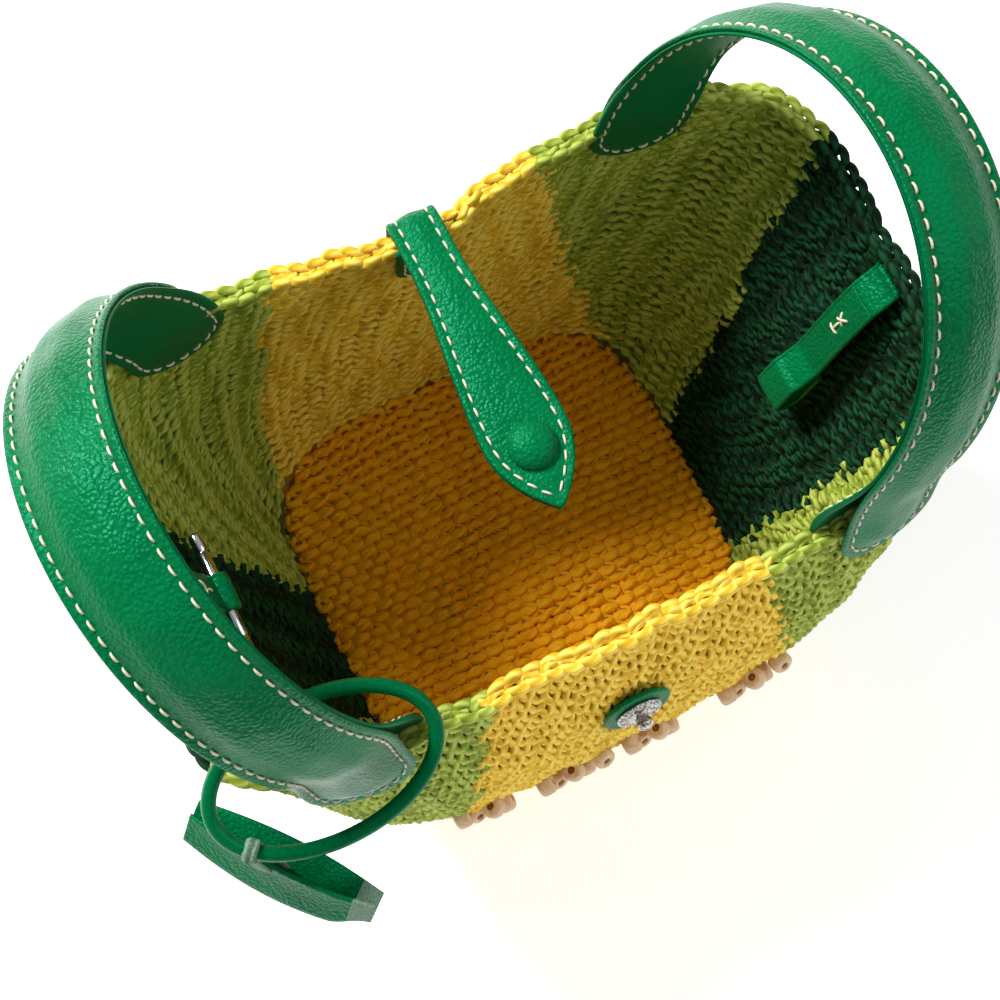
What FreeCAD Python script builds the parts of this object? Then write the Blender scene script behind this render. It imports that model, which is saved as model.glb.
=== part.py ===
import FreeCAD, Part
import math
import os

import Sketcher

# A small crocheted tote bag with two leather handles, in millimetres.
# X runs along the mouth to the right, Y from front to back, Z up.
# The origin is the middle of the base, on the surface the bag stands on.

Vector = FreeCAD.Vector
X_AXIS, Y_AXIS, Z_AXIS = Vector(1, 0, 0), Vector(0, 1, 0), Vector(0, 0, 1)

doc = FreeCAD.newDocument("crocheted_tote")

# ---------------------------------------------------------------- driving dimensions

DIMENSIONS = [
    ("bag_height", 150, "height of the crocheted wall"),
    ("wall_thick", 5, "thickness of the crocheted fabric"),
    ("base_half_length", 74, "base, half its length along X"),
    ("base_front", 68, "base, from the middle to the front"),
    ("base_back", 73, "base, from the middle to the back"),
    ("base_round", 3, "how far the fabric rounds in at the floor"),
    ("mouth_half_length", 129, "mouth, half its length along X"),
    ("mouth_front", 73, "mouth, from the middle to the front"),
    ("mouth_back", 79, "mouth, from the middle to the back"),
    ("front_belly", 17, "how far the front wall bulges"),
    ("back_belly", 5, "how far the back wall bulges"),
    ("rim_bow", 8, "how far the strap draws the back rim in"),
    ("rim_bow_reach", 45, "how far from the middle that bow reaches"),
    ("base_squareness", 4.2, "power of the base outline, 2 is an ellipse"),
    ("mouth_squareness", 5.2, "power of the mouth outline"),
    ("yellow_base", 68, "yellow panels, half width at the base"),
    ("yellow_rim", 47, "yellow panels, half width at the rim"),
    ("dark_back_base", 18, "dark side panels, back edge at the base"),
    ("dark_back_rim", 40, "dark side panels, back edge at the rim"),
    ("dark_front_base", 36, "dark side panels, front edge at the base"),
    ("dark_front_rim", 52, "dark side panels, front edge at the rim"),
    ("handle_width", 34, "width of a handle strap"),
    ("handle_leather", 1.6, "thickness of the handle's outer leather"),
    ("handle_filler", 2.6, "thickness of the padding inside the handle"),
    ("handle_lining", 1.4, "thickness of the handle's lining leather"),
    ("handle_span", 146, "distance between the two legs, middle to middle"),
    ("handle_rise", 79, "from the bending line to the top of the arch"),
    ("handle_lean", 25, "how far a handle leans outward, degrees"),
    ("handle_x", 88, "bending line of a handle, from the middle"),
    ("handle_y", 2, "middle of a handle, towards the back"),
    ("bend_height", 168, "height of the bending line"),
    ("tab_leather", 2.2, "thickness of a sewn tab"),
    ("tab_gap", 0.1, "gap between a sewn tab and the yarn"),
    ("tab_x", 91, "middle of a handle tab at the rim, from the middle"),
    ("tab_drop", 22, "length of a handle tab below the rim"),
    ("closure_drop", 30, "length of the closing strap's tab below the rim"),
    ("tab_slant", 17, "how far the handle tabs point towards the middle, degrees"),
    ("strap_length", 100, "closing strap, from the rim to its tip"),
    ("strap_root", 16, "closing strap, width at the rim"),
    ("strap_head", 27, "closing strap, width at the snap"),
    ("strap_point", 24, "length of the pointed end"),
    ("strap_leather", 1.8, "closing strap, thickness of the outer leather"),
    ("strap_lining", 1.4, "closing strap, thickness of the lining"),
    ("strap_y", 69, "line where the closing strap bends"),
    ("strap_z", 157, "height of that line"),
    ("strap_knuckle", 3.2, "radius of the fold at that line"),
    ("snap_reach", 79, "from the bending line to the snap"),
    ("cap_radius", 7.5, "radius of the covered snap cap"),
    ("cap_dome", 4, "height of the snap cap"),
    ("post_radius", 2, "radius of a snap's post"),
    ("socket_radius", 5.5, "radius of the snap socket"),
    ("socket_thick", 3, "thickness of the snap socket"),
    ("stud_z", 100, "height of the front snap"),
    ("stud_radius", 7, "radius of the snap stud's flange"),
    ("stud_flange", 1.4, "thickness of that flange"),
    ("stud_ball", 2.8, "radius of the stud's head"),
    ("stud_neck", 2.2, "radius and length of the stud's neck"),
    ("washer_radius", 11.5, "radius of the leather washer"),
    ("washer_thick", 1.8, "thickness of the leather washer"),
    ("backing_radius", 9, "radius of the backing disc inside the bag"),
    ("snap_gap", 0.3, "gap between the snap's flat discs and the bulging wall"),
    ("cinch_width", 13, "width of the two inner straps"),
    ("cinch_leather", 2, "thickness of the two inner straps"),
    ("cinch_slope", 20, "how far those straps lean with the wall, degrees"),
    ("cinch_x", 115, "line where an inner strap bends, from the middle"),
    ("cinch_z", 142, "height of that line"),
    ("toggle_y", 5, "middle of the toggle strap"),
    ("toggle_drop", 44, "from the bending line to the toggle bar"),
    ("bar_radius", 2.1, "radius of the toggle bar"),
    ("bar_length", 44, "length of the toggle bar"),
    ("bar_clearance", 0.05, "gap between the bar and its sewn loop"),
    ("bar_round", 0.7, "rounding of the bar's ends"),
    ("loop_y", -9, "middle of the loop strap"),
    ("loop_drop", 44, "from the bending line to the top of the open loop"),
    ("loop_length", 20, "length of the open loop"),
    ("loop_gap", 7.5, "width of the open loop"),
    ("ring_long", 34, "hanging ring, half its length"),
    ("ring_short", 21.5, "hanging ring, half its width"),
    ("ring_cord", 2.4, "radius of the ring's leather cord"),
    ("ring_x", -95, "middle of the hanging ring, along X"),
    ("ring_y", -69, "middle of the hanging ring, along Y"),
    ("ring_z", 160.5, "middle of the hanging ring, height"),
    ("ring_tilt", 30, "how far the ring tips down in front, degrees"),
    ("ring_hang", 215, "place on the ring where the tag hangs, degrees round from +X"),
    ("tag_length", 60, "length of the leather tag"),
    ("tag_width", 18, "width of the leather tag"),
    ("tag_leaf", 1.8, "thickness of each leaf of the tag"),
    ("tag_turn", -53, "direction of the tag seen from above, degrees"),
    ("tag_roll", 45, "how far the tag is rolled about its length, degrees"),
    ("tag_slit", 7, "from the tag's middle to the hole that the thong goes through"),
    ("tag_hole", 3.6, "radius of that hole"),
    ("tag_below", 21, "from the ring's cord down to the tag"),
    ("thong_radius", 4.4, "radius of the thong's turn round the ring"),
    ("thong_cord", 1.2, "radius of the thong"),
    ("thong_tail", 0.96, "radius of the thong where its ends pass through the tag"),
    ("thong_knot", 4.2, "radius of the knot under the tag"),
    ("bead_radius", 3.8, "radius of a wooden bead"),
    ("bead_hole", 1.3, "radius of the hole through a bead"),
    ("bead_length", 5.6, "length of a bead"),
    ("bead_pitch", 5.2, "distance along the front between the beads of a cluster"),
    ("bead_stagger", 4.4, "how far the beads stand above or below their row"),
    ("bead_z", 44, "height of the row of beads"),
]

sheet = doc.addObject("Spreadsheet::Sheet", "Sizes")
for row, (alias, value, note) in enumerate(DIMENSIONS, start=1):
    sheet.set(f"A{row}", note)
    sheet.set(f"B{row}", str(value))
    sheet.setAlias(f"B{row}", alias)
doc.recompute()


NODES = []


def size(alias):
    return float(getattr(sheet, alias))


def node(label, made):
    """Name a finished sub-part; its label is also the name of its file."""
    made.Label = label
    NODES.append(made)
    return made


def bind(made, **expressions):
    """Tie properties of an object to the sheet; two underscores stand for a dot."""
    for name, expression in expressions.items():
        made.setExpression(name.replace("__", "."), expression)
    return made


def place(made, x="0", y="0", z="0", axis=Z_AXIS, angle="0"):
    """Bind an object's place, and its turn about one axis, to the sheet."""
    made.Placement = FreeCAD.Placement(Vector(), FreeCAD.Rotation(axis, 1))
    bind(made, Placement__Base__x=x, Placement__Base__y=y, Placement__Base__z=z)
    return bind(made, Placement__Rotation__Angle=f"({angle}) * 1 deg")


def box(name, length, width, height, **where):
    made = bind(doc.addObject("Part::Box", name), Length=length, Width=width, Height=height)
    return place(made, **where)


def cylinder(name, radius, height, **where):
    made = bind(doc.addObject("Part::Cylinder", name), Radius=radius, Height=height)
    return place(made, **where)


def cut(name, base, tool):
    made = doc.addObject("Part::Cut", name)
    made.Base = base
    made.Tool = tool
    return made


def common(name, first, second):
    made = doc.addObject("Part::Common", name)
    made.Base = first
    made.Tool = second
    return made


def fuse(name, shapes):
    made = doc.addObject("Part::MultiFuse", name)
    made.Shapes = shapes
    return made


def copy_of(name, source):
    """A second solid like the first, with a Placement of its own."""
    made = doc.addObject("Part::Compound", name)
    made.Links = [source]
    return made


# ---------------------------------------------------------------- sketches

def origin_plane(body, role):
    return next(item for item in body.Origin.OriginFeatures if item.Role == role)


def sketch_on(body, role, name):
    sketch = body.newObject("Sketcher::SketchObject", name)
    sketch.AttachmentSupport = [(origin_plane(body, role), "")]
    sketch.MapMode = "FlatFace"
    return sketch


def tie_point(sketch, edge, end, x, y):
    """Hold one end of an edge at a place given by two expressions."""
    at = sketch.getPoint(edge, end)
    for kind, value, expression in (("DistanceX", at.x, x), ("DistanceY", at.y, y)):
        number = sketch.addConstraint(Sketcher.Constraint(kind, -1, 1, edge, end, value))
        sketch.setExpression(f"Constraints[{number}]", expression)


def outline(sketch, corners, first_guess):
    """Close a polygon through corners given as pairs of expressions."""
    count = len(corners)
    lines = []
    for i in range(count):
        start, end = Vector(*first_guess[i]), Vector(*first_guess[(i + 1) % count])
        lines.append(sketch.addGeometry(Part.LineSegment(start, end), False))
    for i in range(count):
        sketch.addConstraint(Sketcher.Constraint("Coincident", lines[i], 2, lines[(i + 1) % count], 1))
    for line, (x, y) in zip(lines, corners):
        tie_point(sketch, line, 1, x, y)
    return sketch


def value_of(expression):
    """Work out an expression of the sheet, for a sketch's first guess."""
    probe = doc.addObject("App::FeaturePython", "probe")
    probe.addProperty("App::PropertyFloat", "Result")
    probe.setExpression("Result", expression)
    probe.recompute()
    result = probe.Result
    doc.removeObject(probe.Name)
    return result


def padded_polygon(name, role, corners, length, midplane=True):
    """A body: one polygon sketch, padded."""
    body = doc.addObject("PartDesign::Body", name)
    sketch = sketch_on(body, role, name + "_sketch")
    guess = [(value_of(x), value_of(y), 0) for x, y in corners]
    outline(sketch, corners, guess)
    pad = body.newObject("PartDesign::Pad", name + "_pad")
    pad.Profile = sketch
    pad.Midplane = midplane
    bind(pad, Length=length)
    sketch.Visibility = False
    return body


# ---------------------------------------------------------------- the crocheted shell

# Powers of the height: the mouth widens a little faster low down, and the front bulges below
# the middle of its height.
WALL_RISE = 0.9
BELLY_RISE = 0.75


def share_of(height):
    """How far up the wall a height is, from 0 at the base to 1 at the rim."""
    return min(1.0, max(0.0, height / size("bag_height")))


def between(at_base, at_rim, height, power=1.0):
    return at_base + (at_rim - at_base) * share_of(height) ** power


def wall_outline(height, offset=0.0):
    """Half length, front, back and squareness of the outer surface at one height."""
    share = share_of(height)
    length = between(size("base_half_length"), size("mouth_half_length"), height, WALL_RISE)
    front = between(size("base_front"), size("mouth_front"), height)
    front += size("front_belly") * math.sin(math.pi * share ** BELLY_RISE)
    back = between(size("base_back"), size("mouth_back"), height)
    back += size("back_belly") * math.sin(math.pi * share)
    power = between(size("base_squareness"), size("mouth_squareness"), height)
    offset -= size("base_round") * max(0.0, 1 - height / size("wall_thick"))
    return length + offset, front + offset, back + offset, power


def wall_point(angle, height, offset=0.0):
    """A point of the wall in one direction from the bag's middle line."""
    length, front, back, power = wall_outline(height, offset)
    across, along = math.cos(angle), math.sin(angle)
    depth = back if along > 0 else front
    reach = (abs(across / length) ** power + abs(along / depth) ** power) ** (-1 / power)
    x, y = reach * across, reach * along
    if along > 0:
        y -= size("rim_bow") * share_of(height) * along * math.exp(-((x / size("rim_bow_reach")) ** 2))
    return Vector(x, y, height)


def angle_at_x(x, height, end):
    """The direction of the place on the front (-1) or back (+1) wall with a given X."""
    length, front, back, power = wall_outline(height)
    depth = back if end > 0 else front
    return math.atan2(end * depth * (1 - abs(x / length) ** power) ** (1 / power), x)


def angle_at_y(y, height, side):
    """The direction of the place on the left (-1) or right (+1) wall with a given Y."""
    length, front, back, power = wall_outline(height)
    depth = back if y > 0 else front
    return math.atan2(y, side * length * (1 - abs(y / depth) ** power) ** (1 / power))


def front_surface(x, height):
    """Y of the front wall's outer surface at one place along it."""
    return wall_point(angle_at_x(x, height, -1), height).y


def curve_through(points):
    curve = Part.BSplineCurve()
    curve.interpolate(points)
    return curve.toShape()


def wall_patch(name, first, last, heights, inner, outer, steps):
    """A solid piece of the wall between two directions that may change with height.

    It lies between two offsets from the wall's outer surface, and is lofted through one closed
    section at each height.
    """
    sections = []
    for height in heights:
        start, end = first(height), last(height)
        if end < start:
            end += 2 * math.pi
        angles = [start + (end - start) * i / steps for i in range(steps + 1)]
        outside = [wall_point(angle, height, outer) for angle in angles]
        inside = [wall_point(angle, height, inner) for angle in reversed(angles)]
        edges = [curve_through(outside), Part.makeLine(outside[-1], inside[0]),
                 curve_through(inside), Part.makeLine(inside[-1], outside[0])]
        sections.append(Part.Wire(edges))
    made = doc.addObject("Part::Feature", name)
    made.Shape = Part.makeLoft(sections, True, False)
    return made


def levels(low, high, count):
    return [low + (high - low) * i / (count - 1) for i in range(count)]


RING_POINTS = 48
BASE_LEVELS = levels(0, size("wall_thick"), 3)
WALL_LEVELS = levels(size("wall_thick"), size("bag_height"), 8)
WALL_DEPTH = -size("wall_thick")
PANEL_STEPS = 12
TAB_STEPS = 4


def closed_ring(height):
    points = [wall_point(2 * math.pi * i / RING_POINTS, height) for i in range(RING_POINTS)]
    curve = Part.BSplineCurve()
    curve.interpolate(points, PeriodicFlag=True)
    return Part.Wire(curve.toShape())


base = doc.addObject("Part::Feature", "yellow_base")
base.Shape = Part.makeLoft([closed_ring(level) for level in BASE_LEVELS], True, False)
node("yellow_base", base)


def yellow_edge(side, end):
    """Direction of the slanted edge of a yellow panel, as a function of height."""
    return lambda height: angle_at_x(side * between(size("yellow_base"), size("yellow_rim"), height),
                                     height, end)


def dark_edge(side, end):
    """Direction of the front or back edge of a dark side panel, as a function of height."""
    if end > 0:
        return lambda height: angle_at_y(between(size("dark_back_base"), size("dark_back_rim"), height),
                                         height, side)
    return lambda height: angle_at_y(-between(size("dark_front_base"), size("dark_front_rim"), height),
                                     height, side)


def panel(name, first, last):
    return wall_patch(name, first, last, WALL_LEVELS, WALL_DEPTH, 0, PANEL_STEPS)


# The front snap stands square to the wall, so its place and tilt are worked out from the wall.
snap_low = front_surface(0, size("stud_z") - size("washer_radius"))
snap_high = front_surface(0, size("stud_z") + size("washer_radius"))
WORKED_OUT = [
    ("stud_face", -front_surface(0, size("stud_z")), "front wall at the snap, from the middle"),
    ("stud_tilt", math.degrees(math.atan2(snap_high - snap_low, 2 * size("washer_radius"))),
     "how far the front wall leans back there, degrees"),
]
for row, (alias, value, note) in enumerate(WORKED_OUT, start=len(DIMENSIONS) + 1):
    sheet.set(f"A{row}", note)
    sheet.set(f"B{row}", f"{value:.3f}")
    sheet.setAlias(f"B{row}", alias)
doc.recompute()
SNAP_PLACE = {"y": "-Sizes.stud_face", "z": "Sizes.stud_z", "axis": X_AXIS, "angle": "90 - Sizes.stud_tilt"}

snap_drill = cylinder("snap_drill", "Sizes.post_radius", "8 * Sizes.wall_thick", z="-4 * Sizes.wall_thick")
snap_hole = place(copy_of("snap_hole", snap_drill), **SNAP_PLACE)
front_yellow = panel("front_yellow_whole", yellow_edge(-1, -1), yellow_edge(1, -1))
node("front_yellow_panel", cut("front_yellow_panel", front_yellow, snap_hole))
node("back_yellow_panel", panel("back_yellow_panel", yellow_edge(1, 1), yellow_edge(-1, 1)))
node("right_dark_panel", panel("right_dark_panel", dark_edge(1, -1), dark_edge(1, 1)))
node("left_dark_panel", panel("left_dark_panel", dark_edge(-1, 1), dark_edge(-1, -1)))
for label, first, last in (
        ("front_right_light_panel", yellow_edge(1, -1), dark_edge(1, -1)),
        ("back_right_light_panel", dark_edge(1, 1), yellow_edge(1, 1)),
        ("back_left_light_panel", yellow_edge(-1, 1), dark_edge(-1, 1)),
        ("front_left_light_panel", dark_edge(-1, -1), yellow_edge(-1, -1))):
    node(label, panel(label, first, last))


# ---------------------------------------------------------------- tabs sewn over the rim

TAB_FACES = {
    "outer": (size("tab_gap"), size("tab_gap") + size("tab_leather")),
    "inner": (WALL_DEPTH - size("tab_gap") - size("tab_leather"), WALL_DEPTH - size("tab_gap")),
}


def round_levels(half_width, drop):
    """Heights and half widths of a strip that hangs from the rim and ends in a half round."""
    top = size("bag_height")
    centre = top - drop + half_width
    turns = [math.radians(angle) for angle in (4, 18, 36, 54, 72, 90)]
    low = [(centre - half_width * math.cos(turn), half_width * math.sin(turn)) for turn in turns]
    return low + [(centre + (top - centre) * share, half_width) for share in (0.3, 0.65, 1)]


def tab(label, face, x, end, half_width, drop, slant=0.0):
    """A leather tab on one face of the front (-1) or back (+1) wall.

    It may slant from the rim towards the bag's middle, by an angle in degrees.
    """
    rows = round_levels(half_width, drop)
    widths = dict(rows)

    def middle(height):
        return x - math.copysign(math.tan(math.radians(slant)), x) * (size("bag_height") - height)

    def edge(direction):
        wide = direction / math.cos(math.radians(slant))
        return lambda height: angle_at_x(middle(height) + wide * widths[height], height, end)

    inner, outer = TAB_FACES[face]
    heights = [row[0] for row in rows]
    return node(label, wall_patch(label, edge(end), edge(-end), heights, inner, outer, TAB_STEPS))


for side_name, side in (("left", -1), ("right", 1)):
    for end_name, end in (("front", -1), ("back", 1)):
        for face in TAB_FACES:
            tab(f"{side_name}_handle_{end_name}_{face}_tab", face, side * size("tab_x"), end,
                size("handle_width") / 2, size("tab_drop"), size("tab_slant"))
for face in TAB_FACES:
    tab(f"closure_{face}_tab", face, 0, 1, size("strap_root") / 2, size("closure_drop"))


# ---------------------------------------------------------------- handles

def elliptic_block(name, across, rise):
    """A solid ellipse standing in the YZ plane, as thick along X as a handle is wide."""
    rim = bind(doc.addObject("Part::Ellipse", name + "_rim"), MajorRadius=rise, MinorRadius=across)
    place(rim, axis=Y_AXIS, angle="-90")
    block = doc.addObject("Part::Extrusion", name)
    block.Base = rim
    block.DirMode = "Normal"
    block.Symmetric = True
    block.Solid = True
    return bind(block, LengthFwd="Sizes.handle_width")


def handle_layer(name, inward, outward):
    """One layer of a handle: an arch on straight legs, standing in its own YZ plane.

    The layer lies between two distances from the strap's middle surface. The handle bends about
    its own Y axis, and each leg ends in a half round about that line, so that it turns without
    touching the tabs below it.
    """
    outside = elliptic_block(name + "_outside", f"Sizes.handle_span / 2 + {outward}",
                             f"Sizes.handle_rise + {outward}")
    inside = elliptic_block(name + "_inside", f"Sizes.handle_span / 2 + {inward}",
                            f"Sizes.handle_rise + {inward}")
    upper = box(name + "_upper", "Sizes.handle_width", "2 * Sizes.handle_span", "2 * Sizes.handle_rise",
                x="-Sizes.handle_width / 2", y="-Sizes.handle_span")
    arch = common(name + "_arch", cut(name + "_band", outside, inside), upper)
    pieces = [arch]
    for side, low in ((1, f"Sizes.handle_span / 2 + {inward}"), (-1, f"-Sizes.handle_span / 2 - {outward}")):
        leg = box(f"{name}_leg_{'back' if side > 0 else 'front'}", "Sizes.handle_width",
                  f"{outward} - ({inward})", "Sizes.handle_width / 2", x="-Sizes.handle_width / 2",
                  y=low, z="-Sizes.handle_width / 2")
        pieces.append(leg)
    foot = cylinder(name + "_foot", "Sizes.handle_width / 2", "2 * Sizes.handle_span",
                    y="Sizes.handle_span", axis=X_AXIS, angle="90")
    above = copy_of(name + "_above", upper)
    rounded = fuse(name + "_rounded", [foot, above])
    return common(name, fuse(name + "_square", pieces), rounded)


HALF_STACK = "(Sizes.handle_leather + Sizes.handle_filler + Sizes.handle_lining) / 2"
LINING_TOP = f"(Sizes.handle_lining - {HALF_STACK})"
FILLER_TOP = f"({HALF_STACK} - Sizes.handle_leather)"
handle_layers = {
    "lining": handle_layer("handle_lining_form", f"(-{HALF_STACK})", LINING_TOP),
    "filler": handle_layer("handle_filler_form", LINING_TOP, FILLER_TOP),
    "leather": handle_layer("handle_leather_form", FILLER_TOP, HALF_STACK),
}
for side_name, side in (("left", -1), ("right", 1)):
    for layer_name, form in handle_layers.items():
        label = f"{side_name}_handle_{layer_name}"
        layer = node(label, copy_of(label, form))
        place(layer, x=f"{side} * Sizes.handle_x", y="Sizes.handle_y", z="Sizes.bend_height",
              axis=Y_AXIS, angle=f"{side} * Sizes.handle_lean")


# ---------------------------------------------------------------- closing strap

def strap_layer(name, low, layer_thick):
    """One leather of the closing strap, lying forward from the bending line, holed for the snap."""
    neck, head = "Sizes.strap_root / 2", "Sizes.strap_head / 2"
    shoulder = "-(Sizes.strap_length - Sizes.strap_point)"
    corners = [(f"-{neck}", "0"), (f"-{head}", shoulder), ("0", "-Sizes.strap_length"),
               (head, shoulder), (neck, "0")]
    plate = padded_polygon(name + "_plate", "XY_Plane", corners, layer_thick, midplane=False)
    place(plate, z=low)
    hole = cylinder(name + "_hole", "Sizes.post_radius", "4 * Sizes.strap_leather",
                    y="-Sizes.snap_reach", z="-2 * Sizes.strap_leather")
    return cut(name + "_holed", plate, hole)


STRAP_PLACE = {"y": "Sizes.strap_y", "z": "Sizes.strap_z"}
knuckle = cylinder("strap_knuckle", "Sizes.strap_knuckle", "Sizes.strap_root",
                   x="-Sizes.strap_root / 2", axis=Y_AXIS, angle="90")
knuckle_copy = copy_of("strap_knuckle_copy", knuckle)
strap_lining = strap_layer("strap_lining", "-Sizes.strap_lining", "Sizes.strap_lining")
strap_leather = strap_layer("strap_leather", "0", "Sizes.strap_leather")
lining = cut("closure_strap_lining", strap_lining, knuckle_copy)
place(node("closure_strap_lining", lining), **STRAP_PLACE)
leather = fuse("closure_strap_leather", [strap_leather, knuckle])
place(node("closure_strap_leather", leather), **STRAP_PLACE)

dome = bind(doc.addObject("Part::Ellipsoid", "cap_dome_form"), Radius1="Sizes.cap_dome",
            Radius2="Sizes.cap_radius", Radius3="Sizes.cap_radius")
dome.Angle1 = 0
place(dome, y="-Sizes.snap_reach", z="Sizes.strap_leather")
cap_post = cylinder("cap_post", "Sizes.post_radius", "Sizes.strap_leather + Sizes.strap_lining",
                    y="-Sizes.snap_reach", z="-Sizes.strap_lining")
place(node("snap_cap", fuse("snap_cap", [dome, cap_post])), **STRAP_PLACE)

socket_body = cylinder("socket_body", "Sizes.socket_radius", "Sizes.socket_thick",
                       y="-Sizes.snap_reach", z="-Sizes.strap_lining - Sizes.socket_thick")
socket_mouth = cylinder("socket_mouth", "Sizes.stud_ball", "Sizes.socket_thick",
                        y="-Sizes.snap_reach", z="-Sizes.strap_lining - 1.2 * Sizes.socket_thick")
place(node("snap_socket", cut("snap_socket", socket_body, socket_mouth)), **STRAP_PLACE)


# ---------------------------------------------------------------- front snap

# Its parts are made in the snap's own frame: Z leaves the wall's outer surface at 0.

def disc(name, radius, low, high):
    return cylinder(name, radius, f"({high}) - ({low})", z=low)


WASHER_TOP = "(Sizes.washer_thick + Sizes.snap_gap)"
FLANGE_TOP = f"({WASHER_TOP} + Sizes.stud_flange)"
BACKING_TOP = "(-Sizes.wall_thick - Sizes.snap_gap)"
washer_disc = disc("washer_disc", "Sizes.washer_radius", "Sizes.snap_gap", WASHER_TOP)
washer = cut("front_snap_washer", washer_disc, copy_of("washer_hole", snap_drill))
place(node("front_snap_washer", washer), **SNAP_PLACE)

flange = disc("stud_flange_disc", "Sizes.stud_radius", WASHER_TOP, FLANGE_TOP)
neck = disc("stud_neck_rod", "Sizes.stud_neck", FLANGE_TOP, f"{FLANGE_TOP} + Sizes.stud_neck")
ball = bind(doc.addObject("Part::Sphere", "stud_ball_form"), Radius="Sizes.stud_ball")
place(ball, z=f"{FLANGE_TOP} + Sizes.stud_ball")
post = disc("stud_post", "Sizes.post_radius", f"{BACKING_TOP} - Sizes.washer_thick", WASHER_TOP)
stud = fuse("front_snap_stud", [flange, neck, ball, post])
place(node("front_snap_stud", stud), **SNAP_PLACE)

backing_disc = disc("backing_disc", "Sizes.backing_radius", f"{BACKING_TOP} - Sizes.washer_thick",
                    BACKING_TOP)
backing = cut("front_snap_backing", backing_disc, copy_of("backing_hole", snap_drill))
place(node("front_snap_backing", backing), **SNAP_PLACE)


# ---------------------------------------------------------------- straps inside the ends

def cinch_plate(name, drop):
    """An inner strap in its own frame: hanging down from its bending line, on its middle plane."""
    plate = box(name, "Sizes.cinch_leather", "Sizes.cinch_width", drop,
                x="-Sizes.cinch_leather / 2", y="-Sizes.cinch_width / 2", z=f"-({drop})")
    knuckle_name = name + "_knuckle"
    top = cylinder(knuckle_name, "0.6 * Sizes.cinch_leather", "Sizes.cinch_width",
                   y="Sizes.cinch_width / 2", axis=X_AXIS, angle="90")
    return plate, top


TOGGLE_PLACE = {"x": "-Sizes.cinch_x", "y": "Sizes.toggle_y", "z": "Sizes.cinch_z", "axis": Y_AXIS,
                "angle": "-Sizes.cinch_slope"}
LOOP_PLACE = {"x": "Sizes.cinch_x", "y": "Sizes.loop_y", "z": "Sizes.cinch_z", "axis": Y_AXIS,
              "angle": "Sizes.cinch_slope"}
SLEEVE = "(Sizes.bar_radius + Sizes.bar_clearance + Sizes.cinch_leather)"

toggle_plate, toggle_top = cinch_plate("toggle_plate", "Sizes.toggle_drop")
sleeve = cylinder("toggle_sleeve", SLEEVE, "Sizes.cinch_width", y="Sizes.cinch_width / 2",
                  z="-Sizes.toggle_drop", axis=X_AXIS, angle="90")
sleeve_hole = cylinder("toggle_sleeve_hole", "Sizes.bar_radius + Sizes.bar_clearance",
                       "2 * Sizes.cinch_width", y="Sizes.cinch_width", z="-Sizes.toggle_drop",
                       axis=X_AXIS, angle="90")
toggle_solid = fuse("toggle_solid", [toggle_plate, toggle_top, sleeve])
place(node("toggle_strap", cut("toggle_strap", toggle_solid, sleeve_hole)), **TOGGLE_PLACE)

bar = cylinder("toggle_bar_rod", "Sizes.bar_radius", "Sizes.bar_length", y="Sizes.bar_length / 2",
               z="-Sizes.toggle_drop", axis=X_AXIS, angle="90")
rounded_bar = doc.addObject("Part::Fillet", "toggle_bar_rounded")
rounded_bar.Base = bar
doc.recompute()
end_edges = [i + 1 for i, edge in enumerate(bar.Shape.Edges) if isinstance(edge.Curve, Part.Circle)]
rounded_bar.Edges = [(number, size("bar_round"), size("bar_round")) for number in end_edges]
toggle_bar = node("toggle_bar", copy_of("toggle_bar", rounded_bar))
place(toggle_bar, **TOGGLE_PLACE)

loop_plate, loop_top = cinch_plate("loop_plate", "Sizes.loop_drop")
LOOP_OUT = "(Sizes.loop_gap / 2 + Sizes.cinch_leather)"


def long_ring(name, radius):
    """A slot shape along Z: a block between two cylinders across the strap."""
    straight = "(Sizes.loop_length - Sizes.loop_gap)"
    top = f"Sizes.cinch_leather / 2 - Sizes.loop_drop - {LOOP_OUT}"
    middle = box(name + "_middle", f"2 * ({radius})", "2 * Sizes.cinch_width", straight,
                 x=f"-({radius})", y="-Sizes.cinch_width", z=f"{top} - {straight}")
    ends = []
    for end, level in (("top", top), ("bottom", f"{top} - {straight}")):
        ends.append(cylinder(f"{name}_{end}", radius, "2 * Sizes.cinch_width", y="Sizes.cinch_width",
                             z=level, axis=X_AXIS, angle="90"))
    return fuse(name, [middle, *ends])


loop_slab = box("loop_slab", "8 * Sizes.cinch_leather", "Sizes.cinch_width", "3 * Sizes.loop_drop",
                x="-4 * Sizes.cinch_leather", y="-Sizes.cinch_width / 2", z="-2.5 * Sizes.loop_drop")
loop_outside = common("loop_outside", long_ring("loop_outside_form", LOOP_OUT), loop_slab)
loop_solid = fuse("loop_solid", [loop_plate, loop_top, loop_outside])
loop_strap = cut("cinch_loop_strap", loop_solid, long_ring("loop_inside_form", "Sizes.loop_gap / 2"))
place(node("cinch_loop_strap", loop_strap), **LOOP_PLACE)

# Each strap is sewn to the wall just above its bending line.
for label, side, middle in (
        ("toggle_strap_tab", -1, size("toggle_y")),
        ("cinch_loop_tab", 1, size("loop_y"))):
    half_width = size("cinch_width") / 2
    edges = [lambda height, y=middle - side * half_width, at=side: angle_at_y(y, height, at),
             lambda height, y=middle + side * half_width, at=side: angle_at_y(y, height, at)]
    heights = levels(size("bag_height") - half_width, size("bag_height"), 2)
    inner, outer = TAB_FACES["inner"]
    node(label, wall_patch(label, edges[0], edges[1], heights, inner, outer, TAB_STEPS))


# ---------------------------------------------------------------- hanging ring and tag

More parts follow.
